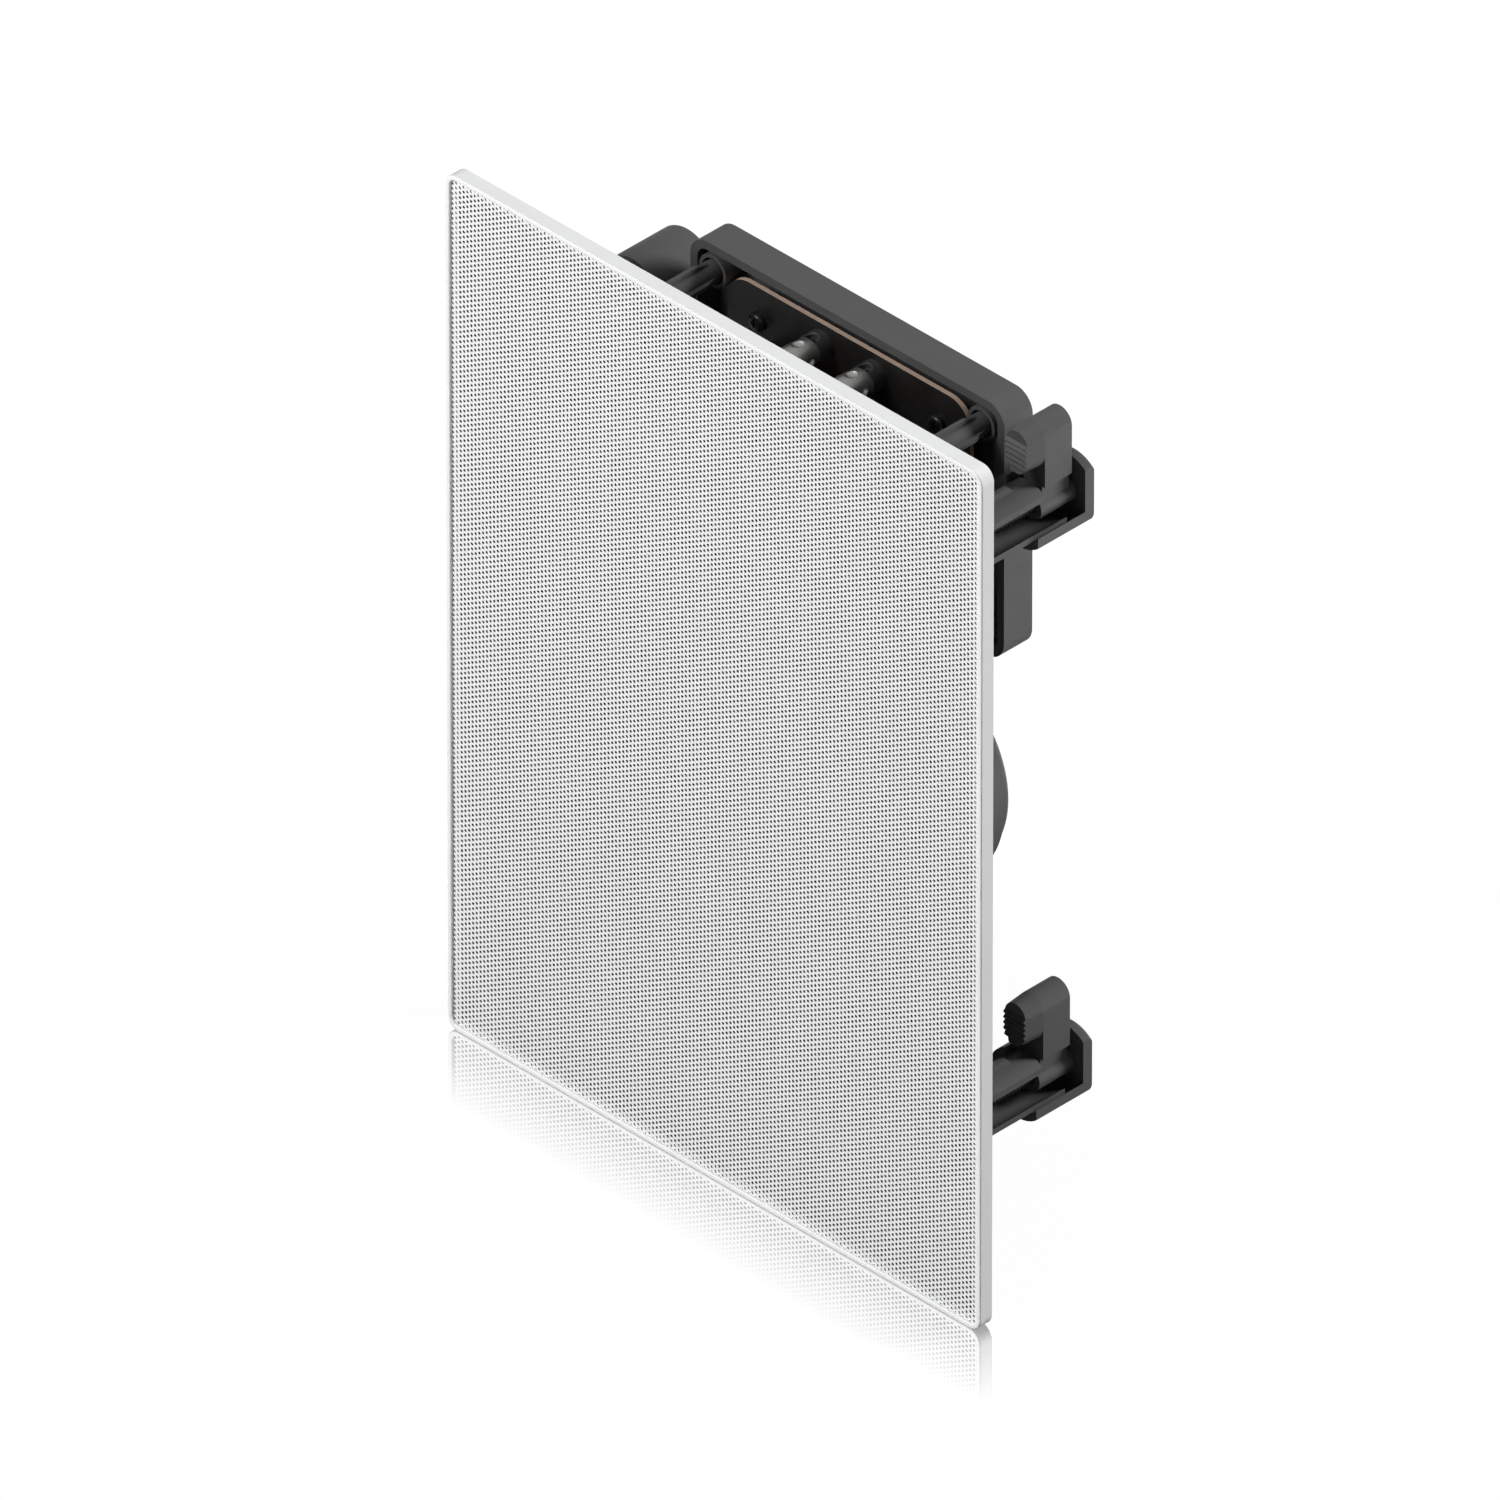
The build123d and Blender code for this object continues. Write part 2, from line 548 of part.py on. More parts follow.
def clamp_ear():
    """Hub on the screw, a neck, a round-topped blade and a toothed toe that grips the wall."""
    half = EAR_WIDTH / 2
    blade_top = EAR_REACH - half
    outline = Pos(0, (BLADE_FOOT + blade_top) / 2) * Rectangle(EAR_WIDTH, blade_top - BLADE_FOOT)
    outline += Pos(0, blade_top) * Circle(half)
    outline += Pos(0, BLADE_FOOT / 2) * Rectangle(NECK_WIDTH, BLADE_FOOT)
    body = slab(outline, EAR_FRONT, EAR_BACK) + rod(HUB_RADIUS, HUB_FRONT, HUB_BACK)
    toe_outline = Pos(0, EAR_REACH - TOE_HEIGHT / 2) * SlotOverall(TOE_HEIGHT, EAR_WIDTH, rotation=90)
    toe_face = Plane.XZ.offset(-EAR_FRONT) * toe_outline
    toe = extrude(toe_face, amount=TOE_LENGTH, taper=TOE_TAPER)
    grip = extrude(toe_face, amount=TOE_LENGTH + TOOTH_DEPTH, taper=TOE_TAPER)
    tooth_root = EAR_FRONT - TOE_LENGTH
    tooth_tip = tooth_root - TOOTH_DEPTH
    first = EAR_REACH - TOE_HEIGHT / 2 + TOOTH_COUNT * TOOTH_PITCH / 2 - TOOTH_DROP
    saw = [(tooth_root + TOOTH_DEPTH, first), (tooth_root, first)]
    for i in range(TOOTH_COUNT):
        foot = first - (i + 1) * TOOTH_PITCH
        saw += [(tooth_tip, foot + TOOTH_LOWER_FLANK), (tooth_root, foot)]
    saw.append((tooth_root + TOOTH_DEPTH, saw[-1][1]))
    rack = extrude(Plane.YZ * make_face(Polyline(*saw, close=True)), amount=half, both=True)
    body = body + toe + (rack & grip)
    return body - rod(CLAMP_SCREW_RADIUS + RUNNING_GAP, HUB_FRONT, HUB_BACK)


def at_clamp(corner, solid):
    """A clamp piece at its corner; on the left it is turned by half a turn."""
    right = corner.endswith("right")
    x = CLAMP_X if right else -CLAMP_X
    z = CLAMP_Z if corner.startswith("upper") else -CLAMP_Z
    return Pos(x, 0, z) * Rot(0, 0 if right else 180, 0) * solid


def clamp_screw():
    """Long screw with a cross drive, driven from the room side."""
    tip = DISC_FRONT + CLAMP_TIP_SEAT
    body = screw(CLAMP_HEAD_RADIUS, CLAMP_HEAD_HEIGHT, CLAMP_SCREW_RADIUS, PLATE_FRONT, tip)
    cross = Rectangle(DRIVE_LENGTH, DRIVE_WIDTH) + Rectangle(DRIVE_WIDTH, DRIVE_LENGTH)
    head_top = PLATE_FRONT - CLAMP_HEAD_HEIGHT
    return body - slab(cross, head_top, head_top + DRIVE_DEPTH)


def small_screws(places, seat, tip):
    """A group of the small pan-head screws that hold the assembly together."""
    body = screw(SMALL_HEAD_RADIUS, SMALL_HEAD_HEIGHT, SMALL_SCREW_RADIUS, seat, tip)
    return group([Pos(x, 0, z) * body for x, z in places])


# Crossover


def board_screw_places():
    return [(x, z + TRAY_Z) for x, z in mirrored_places(BOARD_SCREW_X, BOARD_SCREW_RISE)]


def crossover_tray():
    """Shallow tray, open to the front, with collars for the posts and bosses for the board."""
    centre = Pos(0, TRAY_Z)
    inner_corner = max(TRAY_CORNER - TRAY_WALL, GRILLE_EDGE)
    inside = RectangleRounded(TRAY_WIDTH - 2 * TRAY_WALL, TRAY_HEIGHT - 2 * TRAY_WALL, inner_corner)
    tray = slab(centre * RectangleRounded(TRAY_WIDTH, TRAY_HEIGHT, TRAY_CORNER), TRAY_FRONT, TRAY_BACK)
    tray -= slab(centre * inside, TRAY_FRONT, TRAY_INSIDE)
    tray += [rod(COLLAR_RADIUS, COLLAR_FRONT, TRAY_INSIDE, x, z) for x, z in post_places()]
    tray += [rod(BOARD_BOSS_RADIUS, BOARD_BACK, TRAY_INSIDE, x, z) for x, z in board_screw_places()]
    head_seat = TRAY_BACK - TRAY_SCREW_SINK
    hole_radius = SMALL_SCREW_RADIUS + SCREW_HOLE_GAP
    sink_radius = SMALL_HEAD_RADIUS + SCREW_HOLE_GAP
    for x, z in post_places():
        tray -= rod(COLLAR_SOCKET_RADIUS, COLLAR_FRONT, POST_END, x, z)
        tray -= rod(hole_radius, POST_END, head_seat, x, z)
        tray -= rod(sink_radius, head_seat, TRAY_BACK, x, z)
    pilot_radius = SMALL_SCREW_RADIUS + PILOT_GAP
    pilot_end = BOARD_BACK + SMALL_SCREW_GRIP
    tray -= [rod(pilot_radius, BOARD_BACK, pilot_end, x, z) for x, z in board_screw_places()]
    return tray


def terminal_places():
    return [(TERMINAL_X, TERMINAL_Z), (-TERMINAL_X, TERMINAL_Z)]


def crossover_board():
    outline = Pos(0, TRAY_Z) * RectangleRounded(BOARD_WIDTH, BOARD_HEIGHT, BOARD_CORNER)
    outline -= [Pos(x, z) * Circle(SMALL_SCREW_RADIUS + PILOT_GAP) for x, z in board_screw_places()]
    outline -= [Pos(x, z) * Circle(STUD_TAIL_RADIUS + PILOT_GAP) for x, z in terminal_places()]
    return slab(outline, BOARD_FRONT, BOARD_BACK)


def inductor_places():
    return [(INDUCTOR_X, INDUCTOR_Z), (-INDUCTOR_X, INDUCTOR_Z)]


def inductor_bobbins():
    front = BOARD_FRONT - INDUCTOR_LENGTH
    bobbin = rod(BOBBIN_RADIUS, BOARD_FRONT - BOBBIN_FLANGE, BOARD_FRONT)
    bobbin += rod(BOBBIN_RADIUS, front, front + BOBBIN_FLANGE)
    bobbin += rod(INDUCTOR_CORE_RADIUS, front, BOARD_FRONT)
    bobbin -= rod(INDUCTOR_CORE_RADIUS - BOBBIN_WALL, front, BOARD_FRONT)
    return group([Pos(x, 0, z) * bobbin for x, z in inductor_places()])


def inductor_windings():
    front = BOARD_FRONT - INDUCTOR_LENGTH + BOBBIN_FLANGE
    back = BOARD_FRONT - BOBBIN_FLANGE
    coil = rod(INDUCTOR_RADIUS, front, back) - rod(INDUCTOR_CORE_RADIUS + PILOT_GAP, front, back)
    return group([Pos(x, 0, z) * coil for x, z in inductor_places()])


def film_capacitors():
    """Two wound film capacitors that lie on the board."""
    can = extrude(Plane.YZ * Circle(FILM_CAP_RADIUS), amount=FILM_CAP_LENGTH / 2, both=True)
    depth = BOARD_FRONT - FILM_CAP_RADIUS
    return group([Pos(sign * FILM_CAP_X, depth, FILM_CAP_Z) * can for sign in (1, -1)])


def box_capacitors():
    outline = Rectangle(BOX_CAP_WIDTH, BOX_CAP_HEIGHT)
    middle = BOX_CAP_TOP - BOX_CAP_HEIGHT / 2
    places = [Pos(sign * BOX_CAP_X, middle) for sign in (1, -1)]
    return group([slab(place * outline, BOARD_FRONT - BOX_CAP_DEPTH, BOARD_FRONT) for place in places])


def resistor():
    outline = Pos(0, RESISTOR_Z) * Rectangle(RESISTOR_LENGTH, RESISTOR_SIDE)
    return slab(outline, BOARD_FRONT - RESISTOR_SIDE, BOARD_FRONT)


def upright_hole(radius, depth):
    """A round cutter along Z at the depth given."""
    return extrude(Pos(0, depth) * Circle(radius), amount=2 * TERMINAL_BASE_RADIUS, both=True)


def terminal_bases():
    """Insulating collars with a wire hole that the knob half covers."""
    base = rod(TERMINAL_BASE_RADIUS, TERMINAL_FRONT, BOARD_FRONT)
    base -= upright_hole(WIRE_HOLE_RADIUS, WIRE_HOLE_Y)
    curved = [edge for edge in base.edges() if edge.geom_type not in (GeomType.CIRCLE, GeomType.LINE)]
    base = fillet(curved, WIRE_HOLE_ROUND)
    base -= rod(STUD_RADIUS + PILOT_GAP, TERMINAL_FRONT, BOARD_FRONT)
    return group([Pos(x, 0, z) * base for x, z in terminal_places()])


def terminal_studs():
    """Threaded studs with a cross hole for the wire, soldered to the board."""
    front = KNOB_BACK - KNOB_BORE_DEPTH + STUD_END_GAP
    stud = rod(STUD_RADIUS, front, BOARD_FRONT) - upright_hole(STUD_HOLE_RADIUS, WIRE_HOLE_Y)
    stud += rod(STUD_TAIL_RADIUS, BOARD_FRONT, BOARD_FRONT + STUD_TAIL_LENGTH)
    return group([Pos(x, 0, z) * stud for x, z in terminal_places()])


def terminal_knob(x, z):
    """Tapered knob with four finger dimples, turned on its stud."""
    knob = turned(
        (0, KNOB_BACK),
        (KNOB_REAR_RADIUS, KNOB_BACK),
        (KNOB_FRONT_RADIUS, KNOB_FRONT + KNOB_EDGE),
        (KNOB_FRONT_RADIUS - KNOB_EDGE, KNOB_FRONT),
        (0, KNOB_FRONT),
    )
    knob -= rod(STUD_RADIUS + RUNNING_GAP, KNOB_BACK - KNOB_BORE_DEPTH, KNOB_BACK)
    share = DIMPLE_SET_BACK / KNOB_LENGTH
    skin = KNOB_REAR_RADIUS + share * (KNOB_FRONT_RADIUS - KNOB_REAR_RADIUS)
    centre = Pos(0, KNOB_BACK - DIMPLE_SET_BACK, skin - DIMPLE_DEPTH + DIMPLE_SPHERE)
    dimple = centre * Sphere(DIMPLE_SPHERE)
    knob -= [Rot(0, angle, 0) * dimple for angle in (0, 90, 180, 270)]
    return Pos(x, 0, z) * knob


# Woofer, drawn on the Y axis


def at_woofer(solid):
    return Pos(0, 0, WOOFER_Z) * solid


def woofer_basket():
    """Pressed basket: flange, sloping spokes, a shelf for the spider and a flat neck."""
    mouth_inner = BASKET_MOUTH_RADIUS - BASKET_SHEET
    neck_inner = BASKET_NECK_RADIUS - BASKET_SHEET
    hole = GAP_RADIUS + COIL_GAP
    shell = turned(
        (BASKET_RADIUS, BASKET_FRONT),
        (BASKET_RADIUS, PLATE_FRONT),
        (BASKET_MOUTH_RADIUS, PLATE_FRONT),
        (BASKET_MOUTH_RADIUS, PLATE_BACK),
        (BASKET_SHELF_RADIUS, SHELF_BACK),
        (BASKET_NECK_RADIUS, SHELF_BACK),
        (BASKET_NECK_RADIUS, BASKET_BACK),
        (hole, BASKET_BACK),
        (hole, BASKET_BACK - BASKET_SHEET),
        (neck_inner, BASKET_BACK - BASKET_SHEET),
        (neck_inner, SHELF_FRONT),
        (BASKET_SHELF_RADIUS - BASKET_SHEET, SHELF_FRONT),
        (mouth_inner, PLATE_BACK),
        (mouth_inner, BASKET_FRONT),
    )
    hole_radius = SMALL_SCREW_RADIUS + PILOT_GAP
    shell -= [rod(hole_radius, BASKET_FRONT, PLATE_FRONT, x, z) for x, z in basket_screw_places()]
    slope = (BASKET_MOUTH_RADIUS - BASKET_SHELF_RADIUS) / (SHELF_BACK - PLATE_BACK)
    window_front = PLATE_BACK + BASKET_SHEET
    window_back = SHELF_FRONT - BASKET_SHEET
    outer = BASKET_MOUTH_RADIUS - slope * (window_front - PLATE_BACK)
    inner = BASKET_MOUTH_RADIUS - BASKET_SHEET - slope * (window_back - PLATE_BACK) - BASKET_SHEET
    sector = Rot(0, 0, -WINDOW_ANGLE / 2) * CenterArc((0, 0), outer, 0, WINDOW_ANGLE)
    back_arc = Rot(0, 0, -WINDOW_ANGLE / 2) * CenterArc((0, 0), inner, 0, WINDOW_ANGLE)
    sides = [Line(sector @ 0, back_arc @ 0), Line(sector @ 1, back_arc @ 1)]
    window = slab(make_face([sector, back_arc] + sides), window_front, window_back)
    turns = [360 / BASKET_WINDOWS * (i + 0.5) for i in range(BASKET_WINDOWS)]
    return at_woofer(shell - [Rot(0, turn, 0) * window for turn in turns])


def basket_screw_places():
    return [(x, z - WOOFER_Z) for x, z in woofer_screw_places()]


def woofer_trim_ring():
    """Moulded ring that covers the basket's flange, held by the same screws."""
    front = BASKET_FRONT - TRIM_THICKNESS
    ring = rod(BASKET_RADIUS, front, BASKET_FRONT) - rod(BASKET_RADIUS - TRIM_WIDTH, front, BASKET_FRONT)
    hole_radius = SMALL_SCREW_RADIUS + PILOT_GAP
    ring -= [rod(hole_radius, front, BASKET_FRONT, x, z) for x, z in basket_screw_places()]
    return at_woofer(ring)


def woofer_surround():
    """Half-roll edge between the basket's flange and the cone."""
    front = BASKET_FRONT - SURROUND_SKIN
    outer = ROLL_RADIUS + SURROUND_SKIN / 2
    inner = ROLL_RADIUS - SURROUND_SKIN / 2
    edges = [
        ThreePointArc(
            (ROLL_MIDDLE + outer, front),
            (ROLL_MIDDLE, front - outer),
            (ROLL_MIDDLE - outer, front),
        ),
        ThreePointArc(
            (ROLL_MIDDLE + inner, BASKET_FRONT),
            (ROLL_MIDDLE, BASKET_FRONT - inner),
            (ROLL_MIDDLE - inner, BASKET_FRONT),
        ),
        Polyline(
            (ROLL_MIDDLE + outer, front),
            (ROLL_MIDDLE + outer + SURROUND_LIP, front),
            (ROLL_MIDDLE + outer + SURROUND_LIP, BASKET_FRONT),
            (ROLL_MIDDLE + inner, BASKET_FRONT),
        ),
        Polyline(
            (ROLL_MIDDLE - outer, front),
            (ROLL_MIDDLE - outer - CONE_LIP, front),
            (ROLL_MIDDLE - outer - CONE_LIP, BASKET_FRONT),
            (ROLL_MIDDLE - inner, BASKET_FRONT),
        ),
    ]
    return at_woofer(revolve(make_face(edges), axis=Axis.Y))


def woofer_cone():
    """Bowed cone from the voice-coil former out to a flat lip under the surround."""
    lip_back = CONE_FRONT + CONE_SKIN
    neck = CONE_FRONT + CONE_HEIGHT
    edges = [
        SagittaArc((CONE_BODY_RADIUS, CONE_FRONT), (FORMER_OUTER, neck), CONE_BOW),
        SagittaArc((CONE_BODY_RADIUS, lip_back), (FORMER_OUTER, neck + CONE_SKIN), CONE_BOW),
        Line((FORMER_OUTER, neck), (FORMER_OUTER, neck + CONE_SKIN)),
        Polyline(
            (CONE_BODY_RADIUS, CONE_FRONT),
            (CONE_RADIUS, CONE_FRONT),
            (CONE_RADIUS, lip_back),
            (CONE_BODY_RADIUS, lip_back),
        ),
    ]
    return at_woofer(revolve(make_face(edges), axis=Axis.Y))


def dust_cap_seat():
    """The depth of the cone's front face where the dust cap is glued."""
    bow = SagittaArc((CONE_BODY_RADIUS, CONE_FRONT), (FORMER_OUTER, CONE_FRONT + CONE_HEIGHT), CONE_BOW)
    plumb = Line((DUST_CAP_RADIUS, CONE_FRONT - CONE_HEIGHT), (DUST_CAP_RADIUS, CONE_FRONT + 2 * CONE_HEIGHT))
    return bow.intersect(plumb).vertices()[0].Y


def woofer_dust_cap():
    seat = dust_cap_seat()
    top = seat - DUST_CAP_RISE
    sphere = (DUST_CAP_RADIUS**2 + DUST_CAP_RISE**2) / (2 * DUST_CAP_RISE)
    dome = Pos(0, top + sphere, 0) * (Sphere(sphere) - Sphere(sphere - DUST_CAP_SKIN))
    return at_woofer(dome & rod(DUST_CAP_RADIUS, top, seat))


def woofer_spider():
    """Corrugated centring ring between the former and the basket's shelf."""
    start = FORMER_OUTER + CONE_GAP
    wave_end = BASKET_NECK_RADIUS - BASKET_SHEET
    step = (wave_end - start) / (2 * SPIDER_WAVES)
    front = [(start, SHELF_FRONT - SPIDER_SKIN)]
    for i in range(1, 2 * SPIDER_WAVES):
        height = SPIDER_WAVE_HEIGHT if i % 2 else 0
        front.append((start + i * step, SHELF_FRONT - SPIDER_SKIN - height))
    front.append((wave_end, SHELF_FRONT - SPIDER_SKIN))
    front.append((BASKET_SHELF_RADIUS - BASKET_SHEET - SPIDER_SKIN, SHELF_FRONT - SPIDER_SKIN))
    back = [(r, y + SPIDER_SKIN) for r, y in reversed(front)]
    return at_woofer(turned(*front, *back))


def woofer_voice_coil():
    """Former glued to the cone's neck, with the winding in the magnet's gap."""
    front = CONE_FRONT + CONE_HEIGHT - DUST_CAP_SKIN
    winding_front = BASKET_BACK - WINDING_OVERHANG
    winding_back = winding_front + WINDING_LENGTH
    coil = turned(
        (FORMER_INNER, front),
        (FORMER_OUTER, front),
        (FORMER_OUTER, winding_front),
        (WINDING_OUTER, winding_front),
        (WINDING_OUTER, winding_back),
        (FORMER_INNER, winding_back),
    )
    return at_woofer(coil)


def ring_plate(outer, hole, front, back):
    """A flat round plate with a hole."""
    return rod(outer, front, back) - rod(hole, front, back)


def woofer_top_plate():
    return at_woofer(ring_plate(TOP_PLATE_RADIUS, GAP_RADIUS, BASKET_BACK, FERRITE_FRONT))


def woofer_magnet():
    return at_woofer(ring_plate(FERRITE_RADIUS, FERRITE_HOLE_RADIUS, FERRITE_FRONT, YOKE_FRONT))


def woofer_yoke():
    """Back plate and pole in one steel turning."""
    yoke = rod(YOKE_RADIUS, YOKE_FRONT, YOKE_BACK) + rod(POLE_RADIUS, BASKET_BACK, YOKE_FRONT)
    return at_woofer(yoke)


def magnet_cover():
    """Stepped cup pressed over the magnet and its yoke, with a rounded back edge."""
    shoulder = YOKE_FRONT + COVER_SHOULDER
    end = rod(COVER_END_RADIUS, shoulder, COVER_END)
    end = fillet(end.edges().group_by(Axis.Y)[-1], COVER_EDGE)
    cover = rod(COVER_RADIUS, BASKET_BACK, shoulder) + end
    cover -= rod(FERRITE_RADIUS + COVER_GAP, BASKET_BACK, YOKE_FRONT)
    return at_woofer(cover - rod(YOKE_RADIUS + COVER_GAP, YOKE_FRONT, YOKE_BACK))


# Tweeter, drawn on the Y axis


def at_tweeter(solid):
    return Pos(0, 0, TWEETER_Z) * solid


def faceplate_hole_places():
    return [(x, z - TWEETER_Z) for x, z in faceplate_screw_places()]


def tweeter_faceplate():
    """Round plate with a short flared horn round the dome."""
    plate = turned(
        (HORN_MOUTH_RADIUS, FACEPLATE_FRONT),
        (FACEPLATE_RADIUS, FACEPLATE_FRONT),
        (FACEPLATE_RADIUS, PLATE_FRONT),
        (HORN_THROAT_RADIUS, PLATE_FRONT),
    )
    hole_radius = SMALL_SCREW_RADIUS + PILOT_GAP
    holes = [rod(hole_radius, FACEPLATE_FRONT, PLATE_FRONT, x, z) for x, z in faceplate_hole_places()]
    return at_tweeter(plate - holes)


def tweeter_dome():
    """Soft dome and its rolled edge, formed as one skin."""
    top = DOME_BACK - DOME_RISE
    sphere = (DOME_RADIUS**2 + DOME_RISE**2) / (2 * DOME_RISE)
    dome = Pos(0, top + sphere, 0) * (Sphere(sphere) - Sphere(sphere - DOME_SKIN))
    dome = dome & rod(DOME_RADIUS, top, DOME_BACK)
    lip = ring_plate(DOME_LIP_RADIUS, DOME_RADIUS - DOME_SKIN, PLATE_FRONT, DOME_BACK)
    return at_tweeter(dome + lip)


def tweeter_voice_coil():
    back = DOME_BACK + TWEETER_COIL_LENGTH
    return at_tweeter(ring_plate(DOME_COIL_RADIUS, DOME_COIL_RADIUS - FORMER_SKIN, DOME_BACK, back))


def tweeter_pole_front():
    return TWEETER_YOKE_BACK - TWEETER_YOKE_DEPTH + FORMER_SKIN


def tweeter_pole_plate():
    front = tweeter_pole_front()
    return at_tweeter(rod(TWEETER_POLE_RADIUS, front, front + TWEETER_POLE_THICKNESS))


def tweeter_magnet():
    front = tweeter_pole_front() + TWEETER_POLE_THICKNESS
    return at_tweeter(rod(TWEETER_MAGNET_RADIUS, front, TWEETER_YOKE_BACK - TWEETER_YOKE_FLOOR))


def tweeter_yoke():
    cup = rod(TWEETER_YOKE_RADIUS, DOME_BACK, TWEETER_YOKE_BACK)
    return at_tweeter(cup - rod(TWEETER_BORE_RADIUS, DOME_BACK, TWEETER_YOKE_BACK - TWEETER_YOKE_FLOOR))


def tweeter_rear_cup():
    cup = rod(REAR_CUP_RADIUS, PLATE_FRONT, REAR_CUP_END)
    return at_tweeter(cup - rod(REAR_CUP_RADIUS - REAR_CUP_WALL, PLATE_FRONT, TWEETER_YOKE_BACK))


def all_parts():
    """Every node's name and solid."""
    parts = {
        "grille_frame": grille_frame(),
        "grille_mesh": grille_mesh(),
        "grille_magnets": grille_magnets(),
        "baffle": baffle(),
        "tower_screws": small_screws(foot_screw_places(), PLATE_FRONT, PLATE_BACK + SMALL_SCREW_GRIP),
        "crossover_tray": crossover_tray(),
        "tray_screws": small_screws(post_places(), TRAY_BACK - TRAY_SCREW_SINK, POST_END - SMALL_SCREW_GRIP),
        "crossover_board": crossover_board(),
        "board_screws": small_screws(board_screw_places(), BOARD_FRONT, BOARD_BACK + SMALL_SCREW_GRIP),
        "inductor_bobbins": inductor_bobbins(),
        "inductor_windings": inductor_windings(),
        "film_capacitors": film_capacitors(),
        "box_capacitors": box_capacitors(),
        "resistor": resistor(),
        "terminal_bases": terminal_bases(),
        "terminal_studs": terminal_studs(),
        "terminal_knob_right": terminal_knob(TERMINAL_X, TERMINAL_Z),
        "terminal_knob_left": terminal_knob(-TERMINAL_X, TERMINAL_Z),
        "woofer_basket": woofer_basket(),
        "woofer_trim_ring": woofer_trim_ring(),
        "woofer_screws": small_screws(woofer_screw_places(), BASKET_FRONT - TRIM_THICKNESS, PLATE_BACK),
        "woofer_surround": woofer_surround(),
        "woofer_cone": woofer_cone(),
        "woofer_dust_cap": woofer_dust_cap(),
        "woofer_spider": woofer_spider(),
        "woofer_voice_coil": woofer_voice_coil(),
        "woofer_top_plate": woofer_top_plate(),
        "woofer_magnet": woofer_magnet(),
        "woofer_yoke": woofer_yoke(),
        "magnet_cover": magnet_cover(),
        "tweeter_faceplate": tweeter_faceplate(),
        "tweeter_screws": small_screws(faceplate_screw_places(), FACEPLATE_FRONT, PLATE_BACK),
        "tweeter_dome": tweeter_dome(),
        "tweeter_voice_coil": tweeter_voice_coil(),
        "tweeter_pole_plate": tweeter_pole_plate(),
        "tweeter_magnet": tweeter_magnet(),
        "tweeter_yoke": tweeter_yoke(),
        "tweeter_rear_cup": tweeter_rear_cup(),
    }
    tower = clamp_tower()
    ear = clamp_ear()
    driver = clamp_screw()
    for corner in CLAMP_CORNERS:
        parts["clamp_tower_" + corner] = at_clamp(corner, tower)
        parts["clamp_ear_" + corner] = at_clamp(corner, ear)
        parts["clamp_screw_" + corner] = at_clamp(corner, driver)
    return parts


os.makedirs("parts", exist_ok=True)
for name, shape in all_parts().items():
    export_step(shape, os.path.join("parts", name + ".step"))
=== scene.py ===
"""The finish of an in-wall speaker: grille, screws, windings, flexing rings, surfaces, light and camera."""

import math

import bmesh
import bpy
import numpy as np
from mathutils import Matrix, Vector


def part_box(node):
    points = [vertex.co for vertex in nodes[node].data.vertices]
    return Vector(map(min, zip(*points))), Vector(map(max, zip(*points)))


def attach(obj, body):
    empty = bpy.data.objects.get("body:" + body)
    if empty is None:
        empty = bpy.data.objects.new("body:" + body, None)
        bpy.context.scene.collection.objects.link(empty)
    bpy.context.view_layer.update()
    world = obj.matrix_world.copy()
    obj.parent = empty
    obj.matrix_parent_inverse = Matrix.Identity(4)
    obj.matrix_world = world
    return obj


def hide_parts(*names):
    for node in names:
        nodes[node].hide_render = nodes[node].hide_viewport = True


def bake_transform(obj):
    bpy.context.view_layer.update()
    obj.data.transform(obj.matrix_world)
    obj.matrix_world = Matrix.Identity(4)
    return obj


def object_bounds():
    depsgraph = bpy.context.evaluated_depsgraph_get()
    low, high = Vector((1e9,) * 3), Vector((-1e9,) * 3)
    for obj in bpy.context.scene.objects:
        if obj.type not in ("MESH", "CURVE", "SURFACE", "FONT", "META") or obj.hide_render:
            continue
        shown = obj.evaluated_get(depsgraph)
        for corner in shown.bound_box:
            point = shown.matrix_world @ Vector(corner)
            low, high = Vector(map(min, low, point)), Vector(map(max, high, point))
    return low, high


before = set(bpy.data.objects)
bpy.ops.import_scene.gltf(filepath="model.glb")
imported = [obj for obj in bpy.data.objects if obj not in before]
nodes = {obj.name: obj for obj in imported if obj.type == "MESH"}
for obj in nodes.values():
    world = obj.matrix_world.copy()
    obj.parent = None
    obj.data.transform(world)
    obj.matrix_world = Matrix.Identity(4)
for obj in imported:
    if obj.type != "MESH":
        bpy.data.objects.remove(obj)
cad_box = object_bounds()

MM = 0.001
CLAMP_CORNERS = ("upper_right", "lower_right", "upper_left", "lower_left")
SMALL_SCREWS = ("tower_screws", "tray_screws", "board_screws", "woofer_screws", "tweeter_screws")

# Perforation of the grille sheet
HOLE_COLUMN_PITCH = 1.5 * MM
HOLE_ROW_PITCH = HOLE_COLUMN_PITCH * 2 / math.sqrt(3)
HOLE_RADIUS = 0.53 * MM
FIRST_COLUMN_INSET = 0.45 * MM
TOP_ROW_INSET = 1.25 * MM
HOLE_SIDES = 6
SPARE_ROWS = 3
SPARE_COLUMNS = 2
SHEET_BANDS = 5
SHEET_CORNER = 2.75 * MM
CORNER_CUTS = 4
WELD = 0.001 * MM

